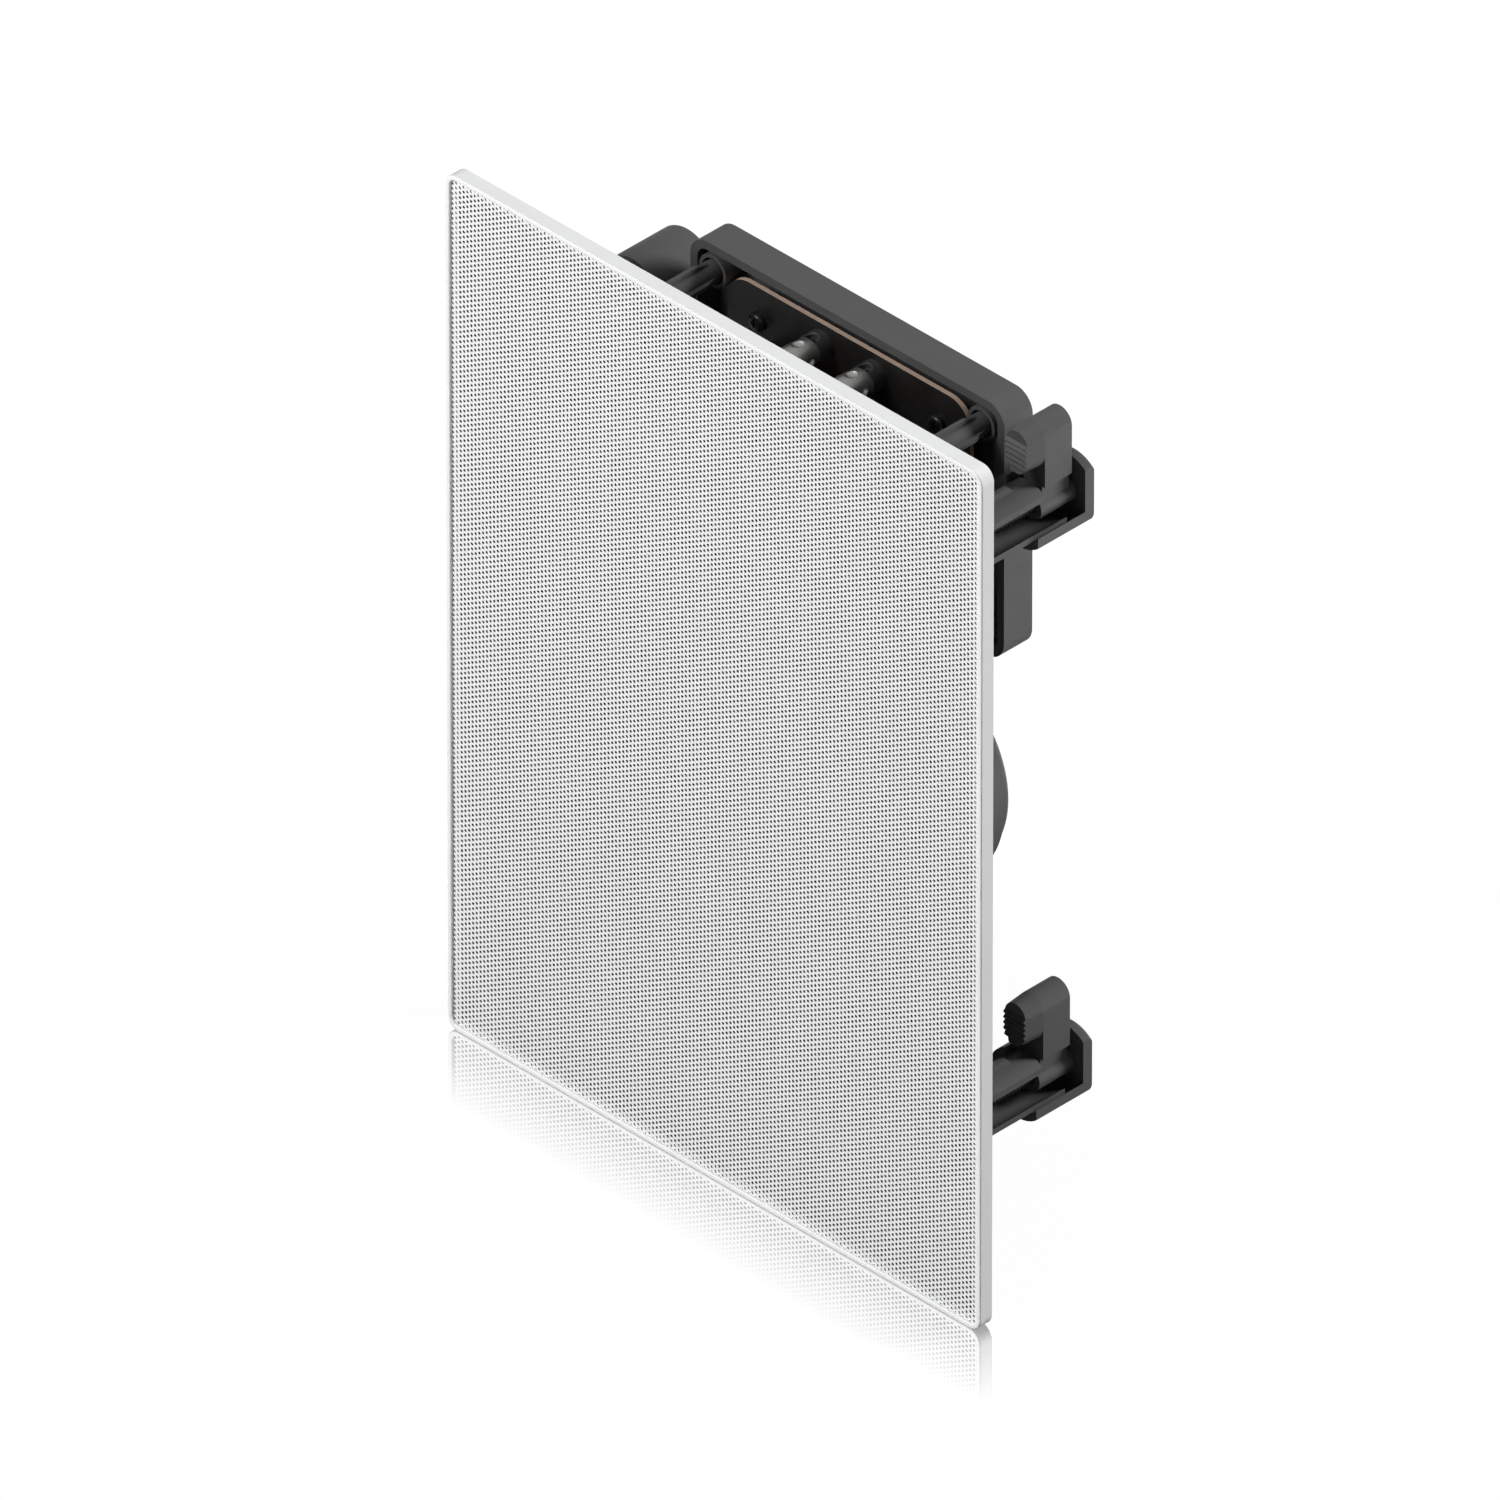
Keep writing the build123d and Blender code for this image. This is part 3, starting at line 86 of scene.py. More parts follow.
# Screws: a domed pan head with a cross recess, a thread and a short taper at the tip
SCREW_SIDES = 20
DOME_STEPS = 5
DOME_SHARE = 0.6
FLAT_SHARE = 0.45
THREAD_STEPS = 6
TIP_SHARE = 0.45
SMALL_HEAD_HEIGHT = 2.2 * MM
SMALL_SHANK_RADIUS = 1.45 * MM
SMALL_THREAD = (0.9 * MM, 0.25 * MM)
SMALL_CROSS = (3.4 * MM, 0.8 * MM, 1.1 * MM)
CLAMP_HEAD_HEIGHT = 2.8 * MM
CLAMP_SHANK_RADIUS = 2.0 * MM
CLAMP_THREAD = (1.4 * MM, 0.35 * MM)
CLAMP_CROSS = (4.4 * MM, 1.0 * MM, 1.6 * MM)
CROSS_TAPER = 0.7
HEAD_RIM_SHARE = 0.9
CREASE = math.radians(38.0)

# Inductor windings and the woofer's flexing rings
WIRE_SIZE = 0.8 * MM
WIRE_STEPS = 4
COIL_SIDES = 48
SURROUND_SECTORS = 24
SPIDER_SECTORS = 16

# Faces of the board whose normal has less than this share along Y are its cut edge
BOARD_EDGE_FACING = 0.5

# Camera and stage
CAMERA_AZIMUTH = math.radians(45.0)
CAMERA_ELEVATION = math.radians(35.0)
CAMERA_LENS = 1600.0
CAMERA_CLIP_SHARE = 5
SENSOR_WIDTH = 36.0
IMAGE_PIXELS = 1500
PIXELS_PER_METRE = 3486.9
FRONT_MIDDLE_PIXEL = (712.59, 753.24)
FLOOR_SIZE = 12.0

# Light, and the floor as it is seen, mirrored and lit
AMBIENT = 0.035
CEILING_HEIGHT = 0.15
CEILING_LEVEL = 0.35
FLOOR_GLOW = 0.93
FLOOR_SEEN_DIFFUSE = 0.1
FLOOR_BOUNCE = 0.1
FLOOR_MIRRORED = 0.85
SHADE_LEVEL = 0.02
SHADE_SPAN = (100 * MM, 180 * MM)
MIRROR_STRENGTH = 0.66
MIRROR_REACH = 27 * MM
KEY_LAMP = {"direction": (-0.22, -0.6, 0.55), "distance": 2.6, "size": 0.9, "level": 0.6}
FRONT_FILL = {"direction": (-0.3, -0.95, 0.1), "distance": 2.6, "size": 1.6, "level": 0.72}
BACK_LIGHT = {"direction": (0.5, 0.775, 0.4), "distance": 2.4, "size": 0.7, "level": 1.24, "glints": False}


class Finish:
    """A Principled material whose colour, gloss and relief vary over the surface."""

    def __init__(self, name, metallic=0.0, specular=0.5):
        self.material = bpy.data.materials.new(name)
        self.material.use_nodes = True
        self.tree = self.material.node_tree
        self.shader = self.tree.nodes["Principled BSDF"]
        self.set("Metallic", metallic)
        self.set("Specular IOR Level", specular)
        self.place = self.tree.nodes.new("ShaderNodeTexCoord").outputs["Object"]
        self.normal = None

    def set(self, socket, value):
        self.shader.inputs[socket].default_value = value

    def link(self, source, target):
        self.tree.links.new(source, target)

    def noise(self, size, detail=3.0, stretch=(1.0, 1.0, 1.0)):
        """Soft noise with features of about this size, drawn out along the axes with a small stretch."""
        mapping = self.tree.nodes.new("ShaderNodeMapping")
        mapping.inputs["Scale"].default_value = stretch
        texture = self.tree.nodes.new("ShaderNodeTexNoise")
        texture.inputs["Scale"].default_value = 1.0 / size
        texture.inputs["Detail"].default_value = detail
        self.link(self.place, mapping.inputs["Vector"])
        self.link(mapping.outputs["Vector"], texture.inputs["Vector"])
        return texture.outputs["Fac"]

    def waves(self, pitch, direction, bands="BANDS", distortion=0.0):
        """Even waves of this pitch: flat bands along an axis or rings around one."""
        texture = self.tree.nodes.new("ShaderNodeTexWave")
        texture.wave_type = bands
        if bands == "BANDS":
            texture.bands_direction = direction
        else:
            texture.rings_direction = direction
        texture.inputs["Scale"].default_value = math.pi / 10.0 / pitch
        texture.inputs["Distortion"].default_value = distortion
        self.link(self.place, texture.inputs["Vector"])
        return texture.outputs["Fac"]

    def spread(self, factor, low, high, start=0.3, end=0.7):
        """A value between two ends, following a texture."""
        ranged = self.tree.nodes.new("ShaderNodeMapRange")
        ranged.inputs["From Min"].default_value = start
        ranged.inputs["From Max"].default_value = end
        ranged.inputs["To Min"].default_value = low
        ranged.inputs["To Max"].default_value = high
        self.link(factor, ranged.inputs["Value"])
        return ranged.outputs["Result"]

    def colour(self, factor, dark, light):
        """The colour runs from dark to light with a texture."""
        mixed = self.tree.nodes.new("ShaderNodeMix")
        mixed.data_type = "RGBA"
        mixed.inputs["A"].default_value = (*dark, 1.0)
        mixed.inputs["B"].default_value = (*light, 1.0)
        self.link(self.spread(factor, 0.0, 1.0), mixed.inputs["Factor"])
        self.link(mixed.outputs["Result"], self.shader.inputs["Base Color"])
        return self

    def gloss(self, factor, low, high):
        """The roughness runs from low to high with a texture."""
        self.link(self.spread(factor, low, high), self.shader.inputs["Roughness"])
        return self

    def relief(self, factor, depth):
        """Bump of this depth on top of any relief that is already there."""
        bump = self.tree.nodes.new("ShaderNodeBump")
        bump.inputs["Distance"].default_value = depth
        self.link(factor, bump.inputs["Height"])
        if self.normal is not None:
            self.link(self.normal, bump.inputs["Normal"])
        self.normal = bump.outputs["Normal"]
        self.link(self.normal, self.shader.inputs["Normal"])
        return self


def grey(value):
    """An even grey."""
    return (value, value, value)


def painted(name, dark, light, low=0.34, high=0.46):
    """Sprayed paint: even colour with a faint orange peel."""
    finish = Finish(name)
    finish.colour(finish.noise(30 * MM), dark, light)
    finish.gloss(finish.noise(6 * MM), low, high)
    finish.relief(finish.noise(0.8 * MM), 0.004 * MM)
    return finish.material


def moulded(name, dark, light, low, high, grain=0.012, specular=0.5):
    """Moulded plastic: fine spark-eroded grain and faint cloudy gloss."""
    finish = Finish(name, specular=specular)
    finish.colour(finish.noise(14 * MM), dark, light)
    finish.gloss(finish.noise(9 * MM), low, high)
    finish.relief(finish.noise(0.35 * MM, detail=2.0), grain * MM)
    return finish.material


def plated(name, dark, light, low, high, metallic=1.0, pitch=0.12):
    """Turned and plated metal: fine lathe rings round the Y axis."""
    finish = Finish(name, metallic=metallic)
    finish.colour(finish.noise(8 * MM, detail=1.0), dark, light)
    finish.gloss(finish.noise(4 * MM, detail=1.0), low, high)
    finish.relief(finish.waves(pitch * MM, "Y"), 0.0008 * MM)
    return finish.material


def cast(name, dark, light, low, high, grain, metallic=0.0):
    """Rough mineral or cast surface with pits."""
    finish = Finish(name, metallic=metallic)
    finish.colour(finish.noise(2.5 * MM, detail=6.0), dark, light)
    finish.gloss(finish.noise(1.5 * MM), low, high)
    finish.relief(finish.noise(0.5 * MM, detail=5.0), grain * MM)
    return finish.material


def woven(name, dark, light, pitch, depth):
    """Coated cloth: two crossed sets of threads."""
    finish = Finish(name)
    finish.colour(finish.noise(4 * MM), dark, light)
    finish.gloss(finish.noise(2 * MM), 0.6, 0.85)
    finish.relief(finish.waves(pitch * MM, "X"), depth * MM)
    finish.relief(finish.waves(pitch * MM, "Z"), depth * MM)
    return finish.material


def solder_mask(name):
    """Dark lacquer with the faint weave of the board under it."""
    finish = Finish(name)
    finish.colour(finish.noise(12 * MM, detail=1.0), (0.016, 0.015, 0.014), (0.024, 0.022, 0.021))
    finish.gloss(finish.noise(8 * MM), 0.34, 0.44)
    finish.relief(finish.waves(0.6 * MM, "X"), 0.0015 * MM)
    finish.relief(finish.waves(0.6 * MM, "Z"), 0.0015 * MM)
    return finish.material


def fibre_edge(name):
    """Cut edge of glass fibre board, in layers."""
    finish = Finish(name)
    finish.colour(finish.noise(0.4 * MM, stretch=(0.2, 3.0, 0.2)), (0.66, 0.48, 0.37), (0.86, 0.65, 0.51))
    finish.gloss(finish.noise(0.6 * MM), 0.6, 0.8)
    finish.relief(finish.noise(0.25 * MM), 0.02 * MM)
    return finish.material


def pressed_paper(name):
    """Pressed pulp of the cone: short fibres and fine rings."""
    finish = Finish(name)
    finish.colour(finish.noise(1.1 * MM, detail=6.0), grey(0.022), grey(0.05))
    finish.gloss(finish.noise(2 * MM), 0.55, 0.75)
    finish.relief(finish.noise(0.6 * MM, detail=6.0), 0.05 * MM)
    return finish.material


white_paint = painted("white_paint", (0.885, 0.89, 0.895), (0.9, 0.905, 0.91))
# The holes' walls get a mid grey instead of the white paint: painted shade for the shade inside the holes
painted_hole_shade = painted("painted_hole_shade", grey(0.2), grey(0.25))
black_plastic = moulded("black_plastic", grey(0.096), grey(0.102), 0.47, 0.54, grain=0.02)
clamp_plastic = moulded("clamp_plastic", grey(0.096), grey(0.102), 0.47, 0.54, grain=0.02)
terminal_plastic = moulded("terminal_plastic", grey(0.06), grey(0.072), 0.36, 0.46, grain=0.006)
black_screw = plated("black_screw", grey(0.012), grey(0.02), 0.24, 0.34, metallic=0.0)
nickel = plated("nickel", (0.72, 0.71, 0.69), (0.78, 0.77, 0.75), 0.33, 0.4)
motor_steel = plated("motor_steel", (0.48, 0.47, 0.44), (0.62, 0.6, 0.55), 0.3, 0.45, pitch=0.3)
magnet_nickel = plated("magnet_nickel", grey(0.05), grey(0.07), 0.35, 0.45)
basket_paint = painted("basket_paint", grey(0.02), grey(0.028), 0.45, 0.6)
ferrite = cast("ferrite", grey(0.03), grey(0.07), 0.55, 0.8, 0.06)
ceramic = cast("ceramic", (0.5, 0.49, 0.45), (0.62, 0.61, 0.57), 0.6, 0.8, 0.05)
copper_wire = cast("copper_wire", (0.38, 0.13, 0.06), (0.48, 0.18, 0.09), 0.3, 0.4, 0.004, metallic=1.0)
film_wrap = moulded("film_wrap", (0.5, 0.33, 0.06), (0.6, 0.42, 0.1), 0.25, 0.4, grain=0.01)
box_resin = moulded("box_resin", grey(0.02), grey(0.028), 0.3, 0.42, grain=0.004)
rubber = moulded("rubber", grey(0.014), grey(0.022), 0.55, 0.75, grain=0.02)
cone_pulp = pressed_paper("cone_pulp")
spider_cloth = woven("spider_cloth", (0.3, 0.2, 0.09), (0.42, 0.29, 0.14), 0.9, 0.06)
dome_silk = woven("dome_silk", grey(0.02), grey(0.035), 0.4, 0.02)
board_mask = solder_mask("board_mask")
board_edge = fibre_edge("board_edge")

CLAMP_PLASTIC_NODES = [f"clamp_{piece}_{corner}" for piece in ("tower", "ear") for corner in CLAMP_CORNERS]
NODE_FINISHES = {
    white_paint: ("grille_frame",),
    black_plastic: (
        "baffle", "crossover_tray", "woofer_trim_ring", "magnet_cover", "tweeter_faceplate",
        "tweeter_rear_cup", "inductor_bobbins",
    ),
    clamp_plastic: CLAMP_PLASTIC_NODES,
    terminal_plastic: ("terminal_bases",),
    nickel: ("terminal_studs", "terminal_knob_right", "terminal_knob_left"),
    motor_steel: ("woofer_top_plate", "woofer_yoke", "tweeter_pole_plate", "tweeter_yoke"),
    magnet_nickel: ("grille_magnets", "tweeter_magnet"),
    basket_paint: ("woofer_basket",),
    ferrite: ("woofer_magnet",),
    ceramic: ("resistor",),
    copper_wire: ("woofer_voice_coil", "tweeter_voice_coil", "inductor_windings"),
    film_wrap: ("film_capacitors",),
    box_resin: ("box_capacitors",),
    rubber: ("woofer_surround",),
    cone_pulp: ("woofer_cone", "woofer_dust_cap"),
    spider_cloth: ("woofer_spider",),
    dome_silk: ("tweeter_dome",),
    board_mask: ("crossover_board",),
    black_screw: SMALL_SCREWS,
}


def dress(node, material):
    """One material all over a CAD node."""
    mesh = nodes[node].data
    mesh.materials.clear()
    mesh.materials.append(material)


def dress_faces(node, material, chosen):
    """A second material on the chosen faces of a CAD node."""
    mesh = nodes[node].data
    mesh.materials.append(material)
    for polygon in mesh.polygons:
        if chosen(polygon):
            polygon.material_index = len(mesh.materials) - 1


def new_piece(name, body, mesh, materials, replaced):
    """A scene mesh that rides on a body and stands for CAD nodes."""
    piece = bpy.data.objects.new(name, mesh)
    for material in materials:
        mesh.materials.append(material)
    bpy.context.scene.collection.objects.link(piece)
    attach(piece, body)
    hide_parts(*replaced)
    return piece


def smooth(mesh):
    """Smooth shading that keeps the creases, without the normals of the mesh that this one was cut from."""
    carried = mesh.attributes.get("custom_normal")
    if carried:
        mesh.attributes.remove(carried)
    mesh.polygons.foreach_set("use_smooth", [True] * len(mesh.polygons))
    mesh.set_sharp_from_angle(angle=CREASE)


def solids_of(node):
    """The points of each separate solid of a CAD node, as arrays in the mesh's own order."""
    shape = bmesh.new()
    shape.from_mesh(nodes[node].data)
    bmesh.ops.remove_doubles(shape, verts=shape.verts[:], dist=WELD)
    left = set(shape.verts)
    solids = []
    for start in shape.verts:
        if start not in left:
            continue
        left.remove(start)
        found = [start]
        for vertex in found:
            for edge in vertex.link_edges:
                other = edge.other_vert(vertex)
                if other in left:
                    left.remove(other)
                    found.append(other)
        solids.append(np.array([vertex.co[:] for vertex in found]))
    shape.free()
    return solids


def round_size(points):
    """Middle, low and high depth and each point's distance from the axis of a round solid along Y."""
    low = points.min(axis=0)
    high = points.max(axis=0)
    middle = (low + high) / 2
    reach = np.hypot(points[:, 0] - middle[0], points[:, 2] - middle[2])
    return middle, low[1], high[1], reach


def lathe(name, rows, sides, closed=False):
    """A mesh turned about the Y axis from rows of a depth and a radius, or a radius for each side."""
    turns = np.linspace(0.0, 2 * np.pi, sides, endpoint=False)
    points = []
    for depth, radius in rows:
        radii = np.broadcast_to(radius, sides)
        points += [(r * math.cos(turn), depth, r * math.sin(turn)) for r, turn in zip(radii, turns)]
    count = len(rows)
    faces = []
    for row in range(count if closed else count - 1):
        near = row * sides
        far = (row + 1) % count * sides
        for side in range(sides):
            beside = (side + 1) % sides
            faces.append((near + side, far + side, far + beside, near + beside))
    if not closed:
        faces.append(tuple(range(sides)))
        faces.append(tuple(reversed(range((count - 1) * sides, count * sides))))
    mesh = bpy.data.meshes.new(name)
    mesh.from_pydata(points, [], faces)
    return mesh


def screw_rows(head_radius, head_height, shank_radius, length, thread):
    """Rows of a domed pan head, a threaded shank and a tapered tip, from the head's top down."""
    pitch, depth = thread
    rows = []
    for step in range(DOME_STEPS + 1):
        turn = math.pi / 2 * step / DOME_STEPS
        radius = head_radius * (FLAT_SHARE + (1 - FLAT_SHARE) * math.sin(turn))
        rows.append((DOME_SHARE * head_height * (1 - math.cos(turn)), radius))
    rows.append((head_height, head_radius))
    turns = np.linspace(0.0, 1.0, SCREW_SIDES, endpoint=False)
    steps = round((length - head_height) / pitch * THREAD_STEPS)
    for step in range(steps + 1):
        ridge = np.abs(2 * ((step / THREAD_STEPS - turns) % 1.0) - 1)
        taper = min(1.0, TIP_SHARE + (steps - step) / (2 * THREAD_STEPS))
        along = head_height + (length - head_height) * step / steps
        rows.append((along, (shank_radius - depth * ridge) * taper))
    return rows


def cross_cutter(length, width, depth):
    """A plus-shaped plug that narrows with depth."""
    a = length / 2
    b = width / 2
    outline = [(b, a), (b, b), (a, b), (a, -b), (b, -b), (b, -a)]
    outline += [(-x, -z) for x, z in outline]
    points = [(x, -depth, z) for x, z in outline]
    points += [(CROSS_TAPER * x, depth, CROSS_TAPER * z) for x, z in outline]
    count = len(outline)
    faces = [tuple(range(count)), tuple(reversed(range(count, 2 * count)))]
    for side in range(count):
        beside = (side + 1) % count
        faces.append((side, side + count, beside + count, beside))
    mesh = bpy.data.meshes.new("cross_cutter")
    mesh.from_pydata(points, [], faces)
    return mesh


def carved(mesh, cutter):
    """The mesh with the cutter's shape taken out of it."""
    target = bpy.data.objects.new("carved", mesh)
    tool = bpy.data.objects.new("cutter", cutter)
    for item in (target, tool):
        shape = bmesh.new()
        shape.from_mesh(item.data)
        bmesh.ops.recalc_face_normals(shape, faces=shape.faces[:])
        shape.to_mesh(item.data)
        shape.free()
        bpy.context.scene.collection.objects.link(item)
    cut = target.modifiers.new("cut", "BOOLEAN")
    cut.operation = "DIFFERENCE"
    cut.solver = "EXACT"
    cut.object = tool
    ready = target.evaluated_get(bpy.context.evaluated_depsgraph_get())
    result = bpy.data.meshes.new_from_object(ready)
    for item in (target, tool):
        bpy.data.objects.remove(item)
    return result


def copies(name, template, places):
    """One mesh of the template at each place, a point and a turn about Z."""
    shape = bmesh.new()
    for point, turn in places:
        before = len(shape.verts)
        shape.from_mesh(template)
        shape.verts.ensure_lookup_table()
        matrix = Matrix.Translation(point) @ Matrix.Rotation(turn, 4, "Z")
        bmesh.ops.transform(shape, matrix=matrix, verts=shape.verts[before:])
    mesh = bpy.data.meshes.new(name)
    shape.to_mesh(mesh)
    shape.free()
    smooth(mesh)
    return mesh


def detailed_screws(node, body, head_height, shank_radius, thread, cross):
    """Screws with a thread and a cross recess in place of a node's plain ones."""
    places = []
    for points in solids_of(node):
        middle, low, high, reach = round_size(points)
        head_radius = reach.max()
        length = high - low
        to_back = points[reach > HEAD_RIM_SHARE * head_radius, 1].mean() > middle[1]
        point = Vector((middle[0], high if to_back else low, middle[2]))
        places.append((point, math.pi if to_back else 0.0))
    rows = screw_rows(head_radius, head_height, shank_radius, length, thread)
    template = carved(lathe("screw", rows, SCREW_SIDES), cross_cutter(*cross))
    mesh = copies(f"{node}_threaded", template, places)
    new_piece(f"{node}_threaded", body, mesh, (black_screw,), (node,))


def all_screws():
    """The fixed small screws, and the clamp screws that turn."""
    for node in SMALL_SCREWS:
        detailed_screws(node, "chassis", SMALL_HEAD_HEIGHT, SMALL_SHANK_RADIUS, SMALL_THREAD, SMALL_CROSS)
    for corner in CLAMP_CORNERS:
        node = f"clamp_screw_{corner}"
        body = f"screw_{corner}"
        detailed_screws(node, body, CLAMP_HEAD_HEIGHT, CLAMP_SHANK_RADIUS, CLAMP_THREAD, CLAMP_CROSS)


def wound_coils():
    """Inductor windings whose outside shows each turn of wire."""
    places = []
    for points in solids_of("inductor_windings"):
        middle, low, high, reach = round_size(points)
        places.append((Vector((middle[0], low, middle[2])), 0.0))
    turns = round((high - low) / WIRE_SIZE)
    size = (high - low) / turns
    rows = []
    for turn in range(turns):
        for step in range(WIRE_STEPS):
            angle = math.pi * (step + 0.5) / WIRE_STEPS
            depth = size * (turn + 0.5 - 0.5 * math.cos(angle))
            rows.append((depth, reach.max() - size / 2 + size / 2 * math.sin(angle)))
    rows += [(high - low, reach.max() - size / 2), (high - low, reach.min())]
    rows += [(0.0, reach.min()), (0.0, reach.max() - size / 2)]
    template = lathe("coil", rows, COIL_SIDES, closed=True)
    mesh = copies("wound_coils", template, places)
    new_piece("wound_coils", "chassis", mesh, (copper_wire,), ("inductor_windings",))


def flexing_ring(node, sectors, material):
    """A ring in sectors, from the basket at the outside to the cone at the inside."""
    middle, _, _, reach = round_size(np.concatenate(solids_of(node)))
    centre = Vector(middle)
    for sector in range(sectors):
        shape = bmesh.new()
        shape.from_mesh(nodes[node].data)
        bmesh.ops.remove_doubles(shape, verts=shape.verts[:], dist=WELD)
        for edge, sign in ((sector, 1), (sector + 1, -1)):
            turn = 2 * math.pi * edge / sectors
            inward = sign * Vector((-math.sin(turn), 0.0, math.cos(turn)))
            everything = shape.verts[:] + shape.edges[:] + shape.faces[:]
            bmesh.ops.bisect_plane(
                shape, geom=everything, dist=WELD, plane_co=centre, plane_no=inward, clear_inner=True
            )
        mesh = bpy.data.meshes.new(f"{node}_{sector + 1}")
        shape.to_mesh(mesh)
        shape.free()
        smooth(mesh)
        mesh.materials.append(material)
        piece = bpy.data.objects.new(mesh.name, mesh)
        bpy.context.scene.collection.objects.link(piece)
        turn = 2 * math.pi * (sector + 0.5) / sectors
        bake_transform(piece)
        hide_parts(node)


def hole_vertex(column, row, corner, rows):
    """Index of a corner of a hole in a sheet's vertex list."""
    return (column * rows + row) * HOLE_SIDES + corner % HOLE_SIDES


def sheet_mesh(name, first, last, low, high):
    """A band of perforated sheet: columns first to last, cut to the sheet's outline."""
    rows = math.ceil((high.z - low.z) / HOLE_ROW_PITCH) + SPARE_ROWS
    columns = last - first + 1
    corners = []
    for column in range(first, last + 1):
        x = low.x + FIRST_COLUMN_INSET + column * HOLE_COLUMN_PITCH
        stagger = 0.5 * HOLE_ROW_PITCH if column % 2 == 0 else 0.0
        for row in range(rows):
            z = high.z - TOP_ROW_INSET + HOLE_ROW_PITCH * (1 - row) + stagger
            for side in range(HOLE_SIDES):
                turn = 2 * math.pi * side / HOLE_SIDES
                corners.append((x + HOLE_RADIUS * math.cos(turn), low.y, z + HOLE_RADIUS * math.sin(turn)))
    count = len(corners)
    faces = []
    walls = []
    for column in range(columns - 1):
        raised = (first + column) % 2 == 0
        for row in range(rows):
            for side in range(HOLE_SIDES):
                near = hole_vertex(column, row, side, rows)
                far = hole_vertex(column, row, side + 1, rows)
                walls.append((near, far, far + count, near + count))
            below = row + 1
            upper = row - 1 if raised else row
            lower = upper + 1
            beside = column + 1
            webs = []
            if below < rows:
                webs.append(((column, row, 4), (column, below, 2), (column, below, 1), (column, row, 5)))
            if 0 <= upper:
                webs.append(((column, row, 0), (beside, upper, 4), (beside, upper, 3), (column, row, 1)))
            if lower < rows:
                webs.append(((column, row, 5), (beside, lower, 3), (beside, lower, 2), (column, row, 0)))
            if 0 <= upper and lower < rows:
                webs.append(((column, row, 0), (beside, lower, 2), (beside, upper, 4)))
            if below < rows and lower < rows:
                webs.append(((column, row, 5), (column, below, 1), (beside, lower, 3)))
            faces += [tuple(hole_vertex(*corner, rows) for corner in web) for web in webs]
    backs = [tuple(index + count for index in reversed(face)) for face in faces]
    points = corners + [(x, high.y, z) for x, y, z in corners]
    mesh = bpy.data.meshes.new(name)
    mesh.from_pydata(points, [], faces + backs + walls)
    # The holes' walls take the second material, which is painted shade
    mesh.polygons.foreach_set("material_index", [0] * (2 * len(faces)) + [1] * len(walls))
    mesh.update()
    return mesh


def outline_planes(low, high):
    """Planes that bound the sheet, corners included, as points and outward directions."""
    planes = [
        (Vector((low.x, 0, 0)), Vector((-1, 0, 0))),
        (Vector((high.x, 0, 0)), Vector((1, 0, 0))),
        (Vector((0, 0, low.z)), Vector((0, 0, -1))),
        (Vector((0, 0, high.z)), Vector((0, 0, 1))),
    ]
    for right in (-1, 1):
        for up in (-1, 1):
            side = high.x if right > 0 else low.x
            end = high.z if up > 0 else low.z
            middle = Vector((side - right * SHEET_CORNER, 0, end - up * SHEET_CORNER))
            for cut in range(1, CORNER_CUTS):
                turn = math.pi / 2 * cut / CORNER_CUTS
                outward = Vector((right * math.cos(turn), 0, up * math.sin(turn)))
                planes.append((middle + outward * SHEET_CORNER, outward))
    return planes


def trim_to(mesh, planes):
    """Cuts a mesh to what lies inside all the planes and closes the cut faces."""
    shape = bmesh.new()
    shape.from_mesh(mesh)
    for point, outward in planes:
        if max((vertex.co - point).dot(outward) for vertex in shape.verts) <= WELD:
            continue
        everything = shape.verts[:] + shape.edges[:] + shape.faces[:]
        cut = bmesh.ops.bisect_plane(
            shape, geom=everything, dist=WELD, plane_co=point, plane_no=outward, clear_outer=True
        )
        edges = [item for item in cut["geom_cut"] if isinstance(item, bmesh.types.BMEdge)]
        bmesh.ops.edgenet_fill(shape, edges=edges)
    shape.to_mesh(mesh)
    shape.free()


def perforated_sheet():
    """The grille's sheet with all its holes, in upright bands side by side."""
    low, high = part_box("grille_mesh")
    columns = math.floor((high.x - low.x) / HOLE_COLUMN_PITCH) + SPARE_COLUMNS
    planes = outline_planes(low, high)
    for band in range(SHEET_BANDS):
        first = columns * band // SHEET_BANDS - 1
        last = columns * (band + 1) // SHEET_BANDS - 1
        name = f"grille_sheet_{band + 1}"
        mesh = sheet_mesh(name, first, last, low, high)
        trim_to(mesh, planes)
        new_piece(name, "grille", mesh, (white_paint, painted_hole_shade), ("grille_mesh",))


def camera_axes():
    """The camera's right, up and back directions."""
    back = Vector(
        (
            math.sin(CAMERA_AZIMUTH) * math.cos(CAMERA_ELEVATION),
            -math.cos(CAMERA_AZIMUTH) * math.cos(CAMERA_ELEVATION),
            math.sin(CAMERA_ELEVATION),
        )
    )
    right = Vector((math.cos(CAMERA_AZIMUTH), math.sin(CAMERA_AZIMUTH), 0))
    return right, back.cross(right), back


def place_camera():
    """A long lens, aimed so that the middle of the grille's front falls on its pixel of the photograph."""
    right, up, back = camera_axes()
    half = IMAGE_PIXELS / 2
    target = Vector((0, cad_box[0][1], 0))
    target += right * ((half - FRONT_MIDDLE_PIXEL[0]) / PIXELS_PER_METRE)
    target -= up * ((half - FRONT_MIDDLE_PIXEL[1]) / PIXELS_PER_METRE)
    data = bpy.data.cameras.new("camera")
    data.lens = CAMERA_LENS
    data.sensor_width = SENSOR_WIDTH
    distance = IMAGE_PIXELS / PIXELS_PER_METRE * CAMERA_LENS / SENSOR_WIDTH
    data.clip_end = CAMERA_CLIP_SHARE * distance
    camera = bpy.data.objects.new("camera", data)
    camera.location = target + back * distance
    camera.rotation_euler = back.to_track_quat("Z", "Y").to_euler()
    bpy.context.scene.collection.objects.link(camera)
    bpy.context.scene.camera = camera


